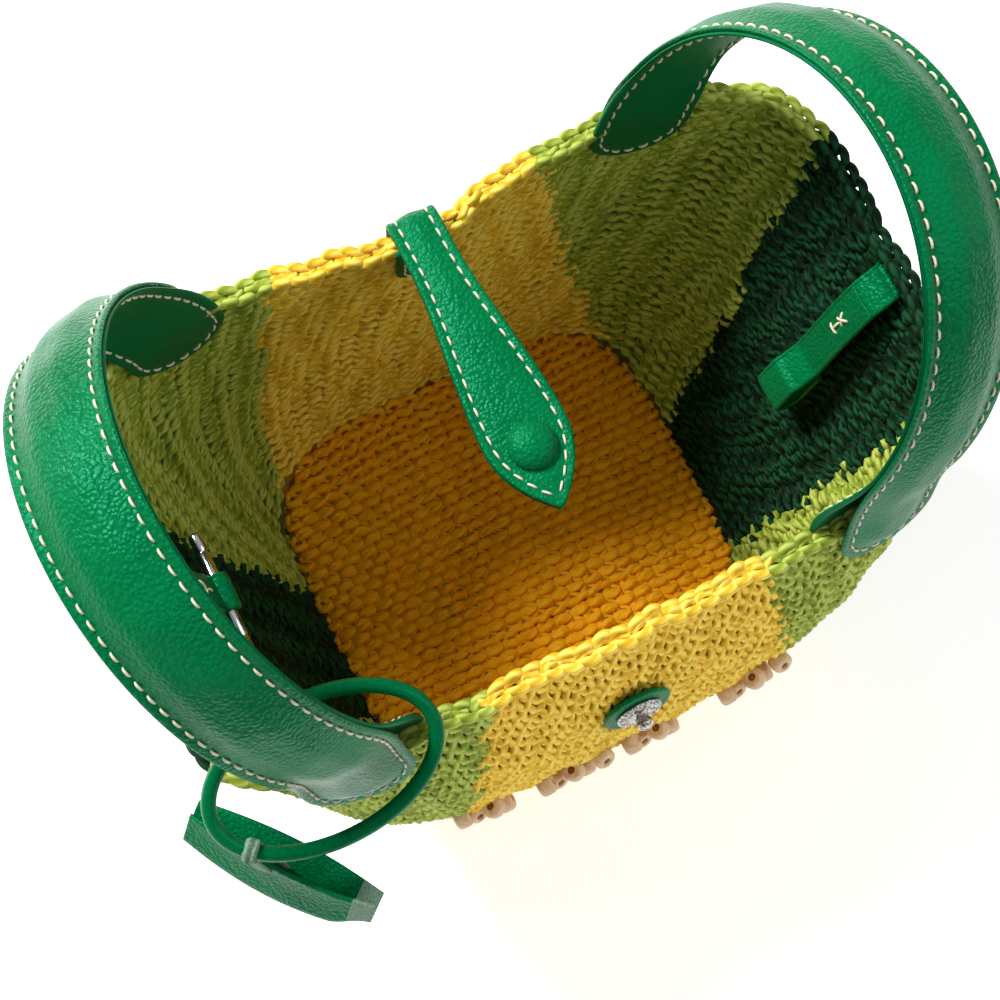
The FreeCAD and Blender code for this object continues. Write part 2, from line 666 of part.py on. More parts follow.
def elliptic_ring(name):
    """A cord bent to an ellipse in its own XY plane."""
    path = bind(doc.addObject("Part::Ellipse", name + "_path"), MajorRadius="Sizes.ring_long",
                MinorRadius="Sizes.ring_short")
    section = bind(doc.addObject("Part::Circle", name + "_section"), Radius="Sizes.ring_cord")
    place(section, x="Sizes.ring_long", axis=X_AXIS, angle="90")
    doc.recompute()
    sweep = doc.addObject("Part::Sweep", name)
    sweep.Sections = [section]
    sweep.Spine = (path, ["Edge1"])
    sweep.Solid = True
    sweep.Frenet = True
    return sweep


ring = node("hanging_ring", elliptic_ring("hanging_ring"))
place(ring, x="Sizes.ring_x", y="Sizes.ring_y", z="Sizes.ring_z", axis=X_AXIS, angle="Sizes.ring_tilt")


# The thong turns once round the ring, then its two ends go down into the tag.
HANG = "(Sizes.ring_hang * 1 deg)"
HANG_X = f"(Sizes.ring_x + Sizes.ring_long * cos{HANG})"
HANG_Y = f"(Sizes.ring_y + Sizes.ring_short * sin{HANG} * cos(Sizes.ring_tilt * 1 deg))"
HANG_Z = f"(Sizes.ring_z + Sizes.ring_short * sin{HANG} * sin(Sizes.ring_tilt * 1 deg))"
RING_RUN = f"atan2(Sizes.ring_short * cos{HANG}; -Sizes.ring_long * sin{HANG}) / 1 deg"
TAG_Z = f"({HANG_Z} - Sizes.tag_below)"
KNOT_DROP = "(Sizes.tag_below + (1.01 * Sizes.tag_leaf + Sizes.thong_knot) / cos(Sizes.tag_roll * 1 deg))"
turn = bind(doc.addObject("Part::Torus", "thong_turn"), Radius1="Sizes.thong_radius",
            Radius2="Sizes.thong_cord")
place(turn, axis=Y_AXIS, angle="90")
tail = cylinder("thong_tail_rod", "Sizes.thong_tail", f"{KNOT_DROP} - Sizes.thong_radius",
                z=f"-{KNOT_DROP}")
knot = bind(doc.addObject("Part::Sphere", "thong_knot_ball"), Radius="Sizes.thong_knot")
place(knot, z=f"-{KNOT_DROP}")
thong = node("tag_thong", fuse("tag_thong", [turn, tail, knot]))
place(thong, x=HANG_X, y=HANG_Y, z=HANG_Z, angle=RING_RUN)


def tag_leaf(name, low):
    """One leaf of the tag: a strip whose hole for the thong is at its own origin."""
    inner_end = "Sizes.tag_slit - Sizes.tag_length / 2"
    outer_end = "Sizes.tag_slit + Sizes.tag_length / 2"
    half_wide = "Sizes.tag_width / 2"
    corners = [(inner_end, f"-{half_wide}"), (outer_end, f"-{half_wide}"),
               (outer_end, half_wide), (inner_end, half_wide)]
    strip = padded_polygon(name + "_strip", "XY_Plane", corners, "Sizes.tag_leaf", midplane=False)
    place(strip, z=low)
    hole = cylinder(name + "_hole", "Sizes.tag_hole", "6 * Sizes.tag_leaf", z="-3 * Sizes.tag_leaf")
    return place(cut(name + "_flat", strip, hole), axis=X_AXIS, angle="Sizes.tag_roll")


for label, low in (("tag_front_leaf", "0"), ("tag_back_leaf", "-Sizes.tag_leaf")):
    leaf = node(label, copy_of(label, tag_leaf(label, low)))
    place(leaf, x=HANG_X, y=HANG_Y, z=TAG_Z, angle="Sizes.tag_turn")


# ---------------------------------------------------------------- wooden beads

# Each cluster is its middle along X and its number of beads.
BEAD_CLUSTERS = ((-53, 4), (-21, 5), (8, 4), (47, 5))
BEAD_DIRECTIONS = (Vector(1, 0, 0.3), Vector(0.2, -1, 0.5), Vector(-0.4, 0.2, 1))
BEAD_PROUD = 1.25                    # from the wall to a bead's middle, in its radii


def bead(x, z, direction):
    """One bead on the front wall, with its hole in a given direction."""
    radius, hole, length = size("bead_radius"), size("bead_hole"), size("bead_length")
    axis = Vector(direction)
    axis.normalize()
    middle = Vector(x, front_surface(x, z) - BEAD_PROUD * radius, z)
    solid = Part.makeCylinder(radius, length, middle - axis * (length / 2), axis)
    drill = Part.makeCylinder(hole, 2 * length, middle - axis * length, axis)
    return solid.cut(drill).Solids[0]


def bead_solids():
    """Staggered beads in clusters along the front, their holes pointing this way and that."""
    solids = []
    for middle, count in BEAD_CLUSTERS:
        for i in range(count):
            x = middle + size("bead_pitch") * (i - (count - 1) / 2)
            z = size("bead_z") + size("bead_stagger") * ((-1) ** i + 0.4 * math.sin(x))
            solids.append(bead(x, z, BEAD_DIRECTIONS[i % len(BEAD_DIRECTIONS)]))
    return solids


beads = doc.addObject("Part::Feature", "wooden_beads")
beads.Shape = Part.makeCompound(bead_solids())
node("wooden_beads", beads)

# ---------------------------------------------------------------- check and write

doc.recompute()
for item in doc.Objects:
    if set(item.State) & {"Invalid", "Error"}:
        raise SystemExit(f"{item.Label} did not build: {item.State}")
for item in NODES:
    if item.Shape.isNull() or not item.Shape.isValid() or item.Shape.Volume <= 0:
        raise SystemExit(f"{item.Label} has no valid shape")

os.makedirs("parts", exist_ok=True)
for item in NODES:
    item.Shape.exportStep(f"parts/{item.Label}.step")
    corner = item.Shape.BoundBox
    print(f"{item.Label:34s} {item.Shape.Volume:9.0f} mm3  solids {len(item.Shape.Solids)}"
          f"  x {corner.XMin:7.1f} {corner.XMax:7.1f}  y {corner.YMin:7.1f} {corner.YMax:7.1f}"
          f"  z {corner.ZMin:6.1f} {corner.ZMax:6.1f}")
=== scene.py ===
import math

import bpy
import numpy as np
from mathutils import Matrix, Vector


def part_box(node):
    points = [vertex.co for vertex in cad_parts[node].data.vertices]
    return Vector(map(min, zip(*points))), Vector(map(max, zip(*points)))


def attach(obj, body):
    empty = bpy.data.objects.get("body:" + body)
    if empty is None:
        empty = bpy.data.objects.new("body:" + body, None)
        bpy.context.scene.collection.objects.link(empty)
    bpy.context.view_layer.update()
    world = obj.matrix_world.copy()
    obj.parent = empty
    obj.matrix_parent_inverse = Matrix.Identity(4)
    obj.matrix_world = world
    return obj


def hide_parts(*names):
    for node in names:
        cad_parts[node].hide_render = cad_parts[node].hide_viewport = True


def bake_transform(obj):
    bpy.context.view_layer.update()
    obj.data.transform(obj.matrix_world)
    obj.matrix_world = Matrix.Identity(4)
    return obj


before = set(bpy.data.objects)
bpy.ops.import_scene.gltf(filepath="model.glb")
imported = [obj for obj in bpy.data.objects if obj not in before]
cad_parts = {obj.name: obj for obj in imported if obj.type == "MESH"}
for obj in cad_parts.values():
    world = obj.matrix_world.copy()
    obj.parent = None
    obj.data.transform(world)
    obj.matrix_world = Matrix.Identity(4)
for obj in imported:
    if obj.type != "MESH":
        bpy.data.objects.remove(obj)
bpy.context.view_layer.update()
SEED = 7
RANDOM = np.random.default_rng(SEED)

# A small crocheted tote with leather handles, in metres.
# X runs along the mouth to the right, Y from front to back, Z up.

# ---- the crocheted wall's shape

DARK_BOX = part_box("right_dark_panel")
WALL_HEIGHT = DARK_BOX[1][2]
WALL_THICK = 0.005
BASE_HALF, BASE_FRONT, BASE_BACK = 0.074, 0.068, 0.073
MOUTH_HALF, MOUTH_FRONT, MOUTH_BACK = DARK_BOX[1][0], 0.073, 0.079
FRONT_BELLY, BACK_BELLY = 0.017, 0.005
WALL_RISE, BELLY_RISE = 0.9, 0.75
RIM_BOW, RIM_BOW_REACH = 0.008, 0.045
BASE_POWER, MOUTH_POWER = 4.2, 5.2
BASE_ROUND = 0.003
# Where the colours change, at the base and at the rim: X of the yellow's edge, Y of the dark's edges.
YELLOW_EDGE, DARK_BACK_EDGE, DARK_FRONT_EDGE = (0.068, 0.047), (0.018, 0.040), (0.036, 0.052)


def share_of(height):
    return np.clip(np.asarray(height, float) / WALL_HEIGHT, 0.0, 1.0)


def edge_at(edge, share):
    return edge[0] + (edge[1] - edge[0]) * share


def wall_outline(height, offset=0.0):
    """Half length, front, back and squareness of the wall at one height."""
    share = share_of(height)
    grow = offset - BASE_ROUND * np.clip(1 - np.asarray(height) / WALL_THICK, 0.0, 1.0)
    length = BASE_HALF + (MOUTH_HALF - BASE_HALF) * share ** WALL_RISE
    front = BASE_FRONT + (MOUTH_FRONT - BASE_FRONT) * share
    front = front + FRONT_BELLY * np.sin(math.pi * share ** BELLY_RISE)
    back = BASE_BACK + (MOUTH_BACK - BASE_BACK) * share + BACK_BELLY * np.sin(math.pi * share)
    power = BASE_POWER + (MOUTH_POWER - BASE_POWER) * share
    return length + grow, front + grow, back + grow, power


def wall_point(angle, height, offset=0.0):
    """Points of the wall, in one direction each from the bag's middle line."""
    length, front, back, power = wall_outline(height, offset)
    across, along = np.cos(angle), np.sin(angle)
    depth = np.where(along > 0, back, front)
    reach = (np.abs(across / length) ** power + np.abs(along / depth) ** power) ** (-1 / power)
    x, y = reach * across, reach * along
    bow = RIM_BOW * share_of(height) * np.maximum(along, 0) * np.exp(-(x / RIM_BOW_REACH) ** 2)
    return np.stack(np.broadcast_arrays(x, y - bow, np.asarray(height, float)), axis=-1)


def unit(vectors):
    return vectors / np.maximum(np.linalg.norm(vectors, axis=-1, keepdims=True), 1e-12)


def wall_basis(angle, height):
    """Directions along the wall, up it and out of it."""
    turn, lift = 0.002, 0.0005
    height = np.clip(height, lift, WALL_HEIGHT - lift)
    along = unit(wall_point(angle + turn, height) - wall_point(angle - turn, height))
    up = unit(wall_point(angle, height + lift) - wall_point(angle, height - lift))
    out = unit(np.cross(along, up))
    return along, np.cross(out, along), out


def angle_at_x(x, height, end):
    """Direction of the place on the front (-1) or back (+1) wall with a given X."""
    length, front, back, power = wall_outline(height)
    depth = back if end > 0 else front
    return np.arctan2(end * depth * (1 - np.abs(x / length) ** power) ** (1 / power), x)


def angle_at_y(y, height, side):
    """Direction of the place on the left (-1) or right (+1) wall with a given Y."""
    length, front, back, power = wall_outline(height)
    depth = back if y > 0 else front
    return np.arctan2(y, side * length * (1 - np.abs(y / depth) ** power) ** (1 / power))


# Around the wall, even steps of length are uneven steps of direction: a table turns one to the other.
TABLE_HEIGHTS, TABLE_STEPS = 31, 721


def direction_table():
    angles = np.linspace(-math.pi, math.pi, TABLE_STEPS)
    even = np.linspace(0, 1, TABLE_STEPS)
    rows, lengths = [], []
    for height in np.linspace(0, WALL_HEIGHT, TABLE_HEIGHTS):
        points = wall_point(angles, np.full(TABLE_STEPS, height), -WALL_THICK / 2)
        steps = np.linalg.norm(np.diff(points, axis=0), axis=1)
        travelled = np.concatenate([[0], np.cumsum(steps)])
        rows.append(np.interp(even, travelled / travelled[-1], angles) - angles)
        lengths.append(travelled[-1])
    return np.array(rows), np.array(lengths)


DIRECTIONS, LENGTHS = direction_table()


def perimeter(height):
    return float(np.interp(height, np.linspace(0, WALL_HEIGHT, TABLE_HEIGHTS), LENGTHS))


def direction_at(part, height):
    """Direction of a place given as a part, 0 to 1, of the way round at its height."""
    part = part % 1.0
    row = share_of(height) * (TABLE_HEIGHTS - 1)
    column = part * (TABLE_STEPS - 1)
    low_row, low_column = np.floor(row).astype(int), np.floor(column).astype(int)
    low_row = np.minimum(low_row, TABLE_HEIGHTS - 2)
    low_column = np.minimum(low_column, TABLE_STEPS - 2)
    up, across = row - low_row, column - low_column
    drift = (DIRECTIONS[low_row, low_column] * (1 - up) * (1 - across)
             + DIRECTIONS[low_row + 1, low_column] * up * (1 - across)
             + DIRECTIONS[low_row, low_column + 1] * (1 - up) * across
             + DIRECTIONS[low_row + 1, low_column + 1] * up * across)
    return -math.pi + 2 * math.pi * part + drift


# ---- meshes from arrays

def piece(name, points, quads, material, body="bag", slot=None, uv=None, tone=None):
    """A mesh object of quads, shaded smooth, riding on a body. A closed one is turned to face outward."""
    a, b, c, d = (points[quads[:, k]] for k in range(4))
    if slot and np.sum(np.cross(b - a, c - a) * a + np.cross(c - a, d - a) * a) < 0:
        quads, uv = quads[:, ::-1], None if uv is None else uv[:, ::-1]
    mesh = bpy.data.meshes.new(name)
    mesh.vertices.add(len(points))
    mesh.vertices.foreach_set("co", np.asarray(points, np.float32).ravel())
    mesh.loops.add(quads.size)
    mesh.loops.foreach_set("vertex_index", np.asarray(quads, np.int32).ravel())
    mesh.polygons.add(len(quads))
    mesh.polygons.foreach_set("loop_start", np.arange(0, quads.size, 4, dtype=np.int32))
    mesh.update(calc_edges=True)
    mesh.polygons.foreach_set("use_smooth", np.ones(len(quads), bool))
    if uv is not None:
        mesh.uv_layers.new(name="yarn").data.foreach_set("uv", np.asarray(uv, np.float32).ravel())
    if tone is not None:
        layer = mesh.attributes.new("tone", "FLOAT", "POINT")
        layer.data.foreach_set("value", np.asarray(tone, np.float32).ravel())
    mesh.materials.append(material)
    made = bpy.data.objects.new(name, mesh)
    bpy.context.scene.collection.objects.link(made)
    if body:
        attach(made, body)
    return made


class Quads:
    """Gathers blocks of points and quads into one mesh."""

    def __init__(self):
        self.points, self.quads, self.uv, self.tone, self.count = [], [], [], [], 0

    def add(self, points, quads, uv=None, tone=0.5):
        self.points.append(points)
        self.quads.append(quads + self.count)
        self.uv.append(np.zeros((len(quads), 4, 2)) if uv is None else uv)
        self.tone.append(np.broadcast_to(tone, len(points)))
        self.count += len(points)

    def build(self, name, material, **rest):
        return piece(name, np.concatenate(self.points), np.concatenate(self.quads), material,
                     uv=np.concatenate(self.uv), tone=np.concatenate(self.tone), **rest)


def tube_quads(rings, sides, closed=False):
    """Quads and texture places of a tube of rings; its ends are closed with flat caps."""
    spans = rings if closed else rings - 1
    start = np.arange(spans)[:, None]
    side = np.arange(sides)[None, :]
    after, beside = (start + 1) % rings, (side + 1) % sides
    quads = np.stack([start * sides + side, after * sides + side,
                      after * sides + beside, start * sides + beside], axis=-1).reshape(-1, 4)
    start, side = np.broadcast_arrays(start, side)
    uv = np.stack([np.stack([start, side], -1), np.stack([start + 1, side], -1),
                   np.stack([start + 1, side + 1], -1), np.stack([start, side + 1], -1)], axis=2)
    uv = uv.reshape(-1, 4, 2) / np.array([1.0, sides])
    if closed:
        return quads, uv
    caps = []
    for ring, order in ((0, 1), (rings - 1, -1)):
        for low in range(0, sides // 2 - 1):
            corners = [low, low + 1, sides - 2 - low, sides - 1 - low]
            caps.append([ring * sides + corner for corner in corners[::order]])
    caps = np.array(caps)
    return np.concatenate([quads, caps]), np.concatenate([uv, np.zeros((len(caps), 4, 2))])


def sweep_rings(points, reference, radius, sides, closed=False):
    """Rings round a line of points; the reference directions keep the rings from twisting."""
    ahead = np.roll(points, -1, axis=0) if closed else np.concatenate([points[1:], points[-1:]])
    behind = np.roll(points, 1, axis=0) if closed else np.concatenate([points[:1], points[:-1]])
    tangent = unit(ahead - behind)
    first = unit(reference - np.sum(reference * tangent, -1, keepdims=True) * tangent)
    second = np.cross(tangent, first)
    turn = 2 * math.pi * np.arange(sides) / sides
    radius = np.broadcast_to(np.asarray(radius, float).reshape(-1, 1, 1), (len(points), 1, 1))
    return points[:, None] + radius * (np.cos(turn)[None, :, None] * first[:, None]
                                       + np.sin(turn)[None, :, None] * second[:, None])


def add_tube(gather, points, reference, radius, sides, tone=0.5, turns=1.0):
    """A closed tube along a line; turns is how fast its plies twist."""
    quads, uv = tube_quads(len(points), sides)
    rings = sweep_rings(points, reference, radius, sides)
    gather.add(rings.reshape(-1, 3), quads, uv * np.array([turns, 1.0]), tone)


# ---- materials

def material(name, colour, roughness, **sockets):
    """A Principled material; returns it with its node tree, shader and a maker of linked nodes."""
    made = bpy.data.materials.new(name)
    made.use_nodes = True
    tree = made.node_tree
    shader = tree.nodes["Principled BSDF"]
    shader.inputs["Base Color"].default_value = (*colour, 1)
    shader.inputs["Roughness"].default_value = roughness
    for socket, value in sockets.items():
        shader.inputs[socket.replace("_", " ")].default_value = value

    def add(kind, inputs=(), **settings):
        node = tree.nodes.new(kind)
        for key, value in settings.items():
            setattr(node, key, value)
        for key, value in dict(inputs).items():
            if isinstance(value, bpy.types.NodeSocket):
                tree.links.new(value, node.inputs[key])
            else:
                node.inputs[key].default_value = value
        return node

    return made, tree, shader, add


def ramp(add, source, stops):
    """A colour ramp with stops given as (place, colour)."""
    node = add("ShaderNodeValToRGB", {"Fac": source})
    elements = node.color_ramp.elements
    while len(elements) < len(stops):
        elements.new(0.5)
    for element, (place, colour) in zip(elements, stops):
        element.position = place
        element.color = (*colour, 1)
    return node.outputs["Color"]


def place_of(add):
    return add("ShaderNodeTexCoord").outputs["Object"]


def noise_of(add, place, scale, detail):
    return add("ShaderNodeTexNoise", {"Vector": place, "Scale": scale, "Detail": detail})


def plus_part(add, value, share, rest):
    """value times share, added to rest."""
    return add("ShaderNodeMath", {0: value, 1: share, 2: rest}, operation="MULTIPLY_ADD").outputs[0]


def finish_material(tree, shader, add, shade, height, strength, depth, rough=None):
    """Links the colour, the bump from a height, and the roughness to the shader."""
    tree.links.new(shade, shader.inputs["Base Color"])
    bump = add("ShaderNodeBump", {"Height": height, "Strength": strength, "Distance": depth})
    tree.links.new(bump.outputs["Normal"], shader.inputs["Normal"])
    if rough:
        tree.links.new(rough.outputs[0], shader.inputs["Roughness"])


def scaled(colour, factor):
    return tuple(min(1.0, max(0.0, channel * factor)) for channel in colour)


def yarn_material(name, colour, light_tone_and_crest_highlight, ply=0.55, fuzz=0.45):
    """Plied cotton: two plies twisted round each other, loose fibres, tone varying by stitch. The colour
    is darker in the grooves between the plies and lighter on their crests: painted shade and painted
    highlight.
    """
    made, tree, shader, add = material(name, colour, 0.62, Sheen_Weight=0.35, Sheen_Roughness=0.4)
    shader.inputs["Sheen Tint"].default_value = (*scaled(colour, 1.6), 1)
    shader.inputs["Specular IOR Level"].default_value = 0.12
    places = add("ShaderNodeUVMap", uv_map="yarn")
    parts = add("ShaderNodeSeparateXYZ", {"Vector": places.outputs["UV"]})
    slant = add("ShaderNodeMath", {0: parts.outputs["Y"], 1: 2.0}, operation="MULTIPLY")
    along = add("ShaderNodeMath", {0: parts.outputs["X"], 1: slant.outputs[0]}, operation="ADD")
    angle = add("ShaderNodeMath", {0: along.outputs[0], 1: 2 * math.pi}, operation="MULTIPLY")
    wave = add("ShaderNodeMath", {0: angle.outputs[0]}, operation="SINE")
    plies = add("ShaderNodeMapRange", {"Value": wave.outputs[0], "From Min": -1.0, "From Max": 1.0})
    where = place_of(add)
    fibres = add("ShaderNodeTexNoise", {"Vector": where, "Scale": 2600.0, "Detail": 3.0,
                                        "Roughness": 0.7}).outputs["Fac"]
    patches = noise_of(add, where, 60.0, 2.0)
    tone = add("ShaderNodeAttribute", attribute_name="tone")
    # The ply wave darkens the grooves between the plies and lightens their crests: painted shade and
    # painted highlight. Tone and patches are the yarn's own uneven colour.
    mixed = add("ShaderNodeMath", {0: plies.outputs[0], 1: ply}, operation="MULTIPLY").outputs[0]
    mixed = plus_part(add, fibres, fuzz, mixed)
    mixed = plus_part(add, tone.outputs["Fac"], 0.3, mixed)
    mixed = plus_part(add, patches.outputs["Fac"], 0.25, mixed)
    shade = ramp(add, mixed, [(0.2, scaled(colour, 0.45)), (0.62, colour), (0.95, light_tone_and_crest_highlight)])
    finish_material(tree, shader, add, shade, plus_part(add, fibres, 0.35, plies.outputs[0]), 0.85, 0.0005)
    return made


def leather_material(name, colour, pebble, depth, roughness=0.42):
    """Pebbled leather: rounded cells with fine creases between them; the colour is darker in the creases
    and lighter on the cells' tops, as painted shade and painted highlight.
    """
    made, tree, shader, add = material(name, colour, roughness)
    shader.inputs["Specular IOR Level"].default_value = 0.24
    shader.inputs["Specular Tint"].default_value = (0.12, 1.0, 0.6, 1)
    where = place_of(add)
    wobble = noise_of(add, where, 350.0, 2.0)
    offset = add("ShaderNodeVectorMath", {0: wobble.outputs["Color"], 1: (0.0012, 0.0012, 0.0012)},
                 operation="MULTIPLY")
    moved = add("ShaderNodeVectorMath", {0: where, 1: offset.outputs[0]}, operation="ADD")
    cells = add("ShaderNodeTexVoronoi", {"Vector": moved.outputs[0], "Scale": 1 / pebble,
                                         "Smoothness": 0.35}, feature="SMOOTH_F1")
    grain = noise_of(add, where, 3200.0, 3.0).outputs["Fac"]
    broad = noise_of(add, where, 28.0, 3.0).outputs["Fac"]
    creases = add("ShaderNodeMapRange", {"Value": cells.outputs["Distance"], "From Min": 0.15,
                                         "From Max": 0.75, "To Min": 1.0, "To Max": 0.0}).outputs[0]
    # Painted shade in the creases and painted highlight on the pebble tops; the broad noise is the
    # leather's own uneven tone.
    shade = ramp(add, plus_part(add, creases, 0.3, broad),
                 [(0.3, scaled(colour, 0.72)), (0.62, colour), (0.95, scaled(colour, 1.22))])
    rough = add("ShaderNodeMapRange", {"Value": broad, "From Min": 0.3, "From Max": 0.7,
                                       "To Min": roughness - 0.07, "To Max": roughness + 0.1})
    finish_material(tree, shader, add, shade, plus_part(add, grain, 0.18, creases), 0.55, depth, rough)
    return made


def grained_material(name, dark, light, scale, roughness, stretch=(1, 1, 1)):
    """A material whose colour and height follow one stretched noise: wood, suede, felt or thread."""
    made, tree, shader, add = material(name, light, roughness)
    stretched = add("ShaderNodeMapping", {"Vector": place_of(add), "Scale": stretch})
    noise = add("ShaderNodeTexNoise", {"Vector": stretched.outputs[0], "Scale": scale, "Detail": 4.0,
                                       "Roughness": 0.6})
    shade = ramp(add, noise.outputs["Fac"], [(0.3, dark), (0.7, light)])
    finish_material(tree, shader, add, shade, noise.outputs["Fac"], 0.5, 0.0002)
    return made


def metal_material(name, colour, dark, roughness, scale, wear):
    """Metal with fine scratches, darker in its hollows."""
    made, tree, shader, add = material(name, colour, roughness, Metallic=1.0)
    marks = noise_of(add, place_of(add), scale, 5.0).outputs["Fac"]
    shade = ramp(add, marks, [(0.5 - wear, dark), (0.5 + wear / 2, colour)])
    rough = add("ShaderNodeMapRange", {"Value": marks, "To Min": roughness + 0.12,
                                       "To Max": max(0.02, roughness - 0.06)})
    finish_material(tree, shader, add, shade, marks, 0.2, 0.00008, rough)
    return made


YELLOW = (0.82, 0.50, 0.03)
# The base is the same yellow yarn as the wall; its colour is deepened to orange as painted shade for the
# warm, shaded inside of the bag.
YELLOW_IN_WARM_SHADE = (0.96, 0.385, 0.003)
LIGHT_GREEN = (0.25, 0.33, 0.03)
DARK_GREEN = (0.0010, 0.0125, 0.0030)
EMERALD = (0.0, 0.130, 0.038)

YARNS = {
    "yellow": yarn_material("yellow_yarn", YELLOW, (0.95, 0.70, 0.12)),
    "light": yarn_material("light_green_yarn", LIGHT_GREEN, (0.45, 0.52, 0.10)),
    "dark": yarn_material("dark_green_yarn", DARK_GREEN, (0.005, 0.055, 0.02)),
    # The base yarn: the wall's yellow in painted warm shade, fuzzier and with fainter plies.
    "base": yarn_material("base_yarn", YELLOW_IN_WARM_SHADE, (0.95, 0.47, 0.012), ply=0.2, fuzz=0.7),
}
# Dark sheets in the middle of the wall and base: painted shade seen through the holes between the loops.
PAINTED_SHADE_SHEETS = {
    "yellow": grained_material("yellow_painted_shade_sheet", (0.24, 0.09, 0.004), (0.42, 0.20, 0.01), 900, 0.95),
    "light": grained_material("light_green_painted_shade_sheet", (0.04, 0.055, 0.006), (0.11, 0.14, 0.015), 900, 0.95),
    "dark": grained_material("dark_green_painted_shade_sheet", (0.001, 0.008, 0.004), (0.003, 0.022, 0.01), 900, 0.95),
}
PEBBLED = leather_material("pebbled_leather", EMERALD, 0.0012, 0.00042, 0.34)
LINING = leather_material("lining_leather", scaled(EMERALD, 0.92), 0.0006, 0.00008, 0.5)
CORD = leather_material("cord_leather", EMERALD, 0.0009, 0.00003, 0.3)
RAW_EDGE = grained_material("raw_edge", (0.06, 0.16, 0.10), (0.24, 0.36, 0.26), 1500, 0.9)
THREAD = grained_material("cream_thread", (0.55, 0.46, 0.30), (0.86, 0.80, 0.62), 5000, 0.55)
POLISHED = metal_material("polished_metal", (0.86, 0.86, 0.88), (0.70, 0.70, 0.72), 0.12, 700, 0.15)
ANTIQUE = metal_material("antique_metal", (0.62, 0.60, 0.57), (0.10, 0.09, 0.08), 0.32, 1400, 0.12)
WOOD = grained_material("bead_wood", (0.58, 0.36, 0.19), (0.82, 0.62, 0.40), 260, 0.55,
                        stretch=(1, 1, 5))


# ---- crochet

STITCH_STEPS, YARN_SIDES = 12, 6
PLY_TURNS = 3.4                      # twists of the plies in one stitch
WALL_PITCH, WALL_ROW = 0.0056, 0.0047
WALL_RISE_OF_LOOP, WALL_DEPTH_OF_LOOP, WALL_YARN = 0.0034, 0.0011, 0.00142
BASE_PITCH, BASE_ROW, BASE_LEVEL = 0.0066, 0.0041, 0.0029
BASE_RISE, BASE_DEPTH, BASE_YARN = 0.0026, 0.0008, 0.0015
RIM_PITCH, RIM_YARN, RIM_STEPS, RIM_SIDES = 0.0056, 0.00155, 11, 8
RIM_NARROW, RIM_WIDE, RIM_REACH = 0.0006, 0.0024, 1.5
RIM_LIFT, RIM_SINK, RIM_SWAY, RIM_TURNS = 0.0004, 0.0016, 0.0008, 1.6
TOP_ROW_BELOW = 0.0030               # from the rim down to the middle of the last row
UNEVEN = 0.05, 0.10, 0.12, 0.07      # spread of a stitch along, in rise, in depth and in thickness
LEAN = 0.27                          # how far a loop's neck is narrower than its head, in stitches


def stitch_shape():
    """One loop in stitch units: along, up and out, and directions that don't twist along it."""
    turn = 2 * math.pi * np.arange(STITCH_STEPS) / STITCH_STEPS
    along = turn / (2 * math.pi) + LEAN * np.sin(2 * turn)
    local = np.stack([along * WALL_PITCH, WALL_RISE_OF_LOOP * np.cos(turn),
                      -WALL_DEPTH_OF_LOOP * np.cos(2 * turn)], axis=-1)
    closed = np.concatenate([local, local[:1] + [WALL_PITCH, 0, 0]])
    ahead = np.concatenate([closed[1:], closed[1:2] + [WALL_PITCH, 0, 0]])
    behind = np.concatenate([closed[-2:-1] - [WALL_PITCH, 0, 0], closed[:-1]])
    tangent = unit(ahead - behind)
    side = [np.cross(tangent[0], (0.0, 1.0, 0.0))]
    for direction in tangent[1:]:
        side.append(unit(side[-1] - np.dot(side[-1], direction) * direction))
    twist = math.atan2(np.dot(np.cross(side[-1], side[0]), tangent[0]), np.dot(side[-1], side[0]))
    frames = []
    for i in range(STITCH_STEPS):
        back = twist * i / STITCH_STEPS
        frames.append(side[i] * math.cos(back) + np.cross(tangent[i], side[i]) * math.sin(back))
    return along, np.cos(turn), -np.cos(2 * turn), np.array(frames)


LOOP_ALONG, LOOP_UP, LOOP_OUT, LOOP_SIDE = stitch_shape()
LOOP_TURN = np.arange(STITCH_STEPS) / STITCH_STEPS


def spread(values, count):
    """Values given at stitches, spread evenly along their samples so that they join up."""
    after = np.roll(values, -1)
    return (values[:, None] * (1 - LOOP_TURN) + after[:, None] * LOOP_TURN).reshape(count * STITCH_STEPS)


def crochet_row(count, surface, rise, depth, yarn):
    """Rings of one row. surface turns stitches along, up and out into points and directions."""
    jitter = RANDOM.normal(0, 1, (4, count))
    along = (np.arange(count)[:, None] + LOOP_ALONG).ravel() + spread(UNEVEN[0] * jitter[0], count)
    up = np.tile(LOOP_UP, count) * rise * (1 + spread(UNEVEN[1] * jitter[1], count))
    out = np.tile(LOOP_OUT, count) * depth * (1 + spread(UNEVEN[2] * jitter[2], count))
    points, basis = surface(along, up, out)
    side = np.tile(LOOP_SIDE, (count, 1))
    reference = sum(side[:, k:k + 1] * basis[k] for k in range(3))
    radius = yarn * (1 + spread(UNEVEN[3] * jitter[3], count))
    return points, reference, radius


def runs_of(colours):
    """Stretches of neighbouring stitches of one colour, as (colour, first, length)."""
    starts = [i for i in range(len(colours)) if colours[i] != colours[i - 1]] or [0]
    ends = starts[1:] + [starts[0] + len(colours)]
    return [(colours[start], start, end - start) for start, end in zip(starts, ends)]


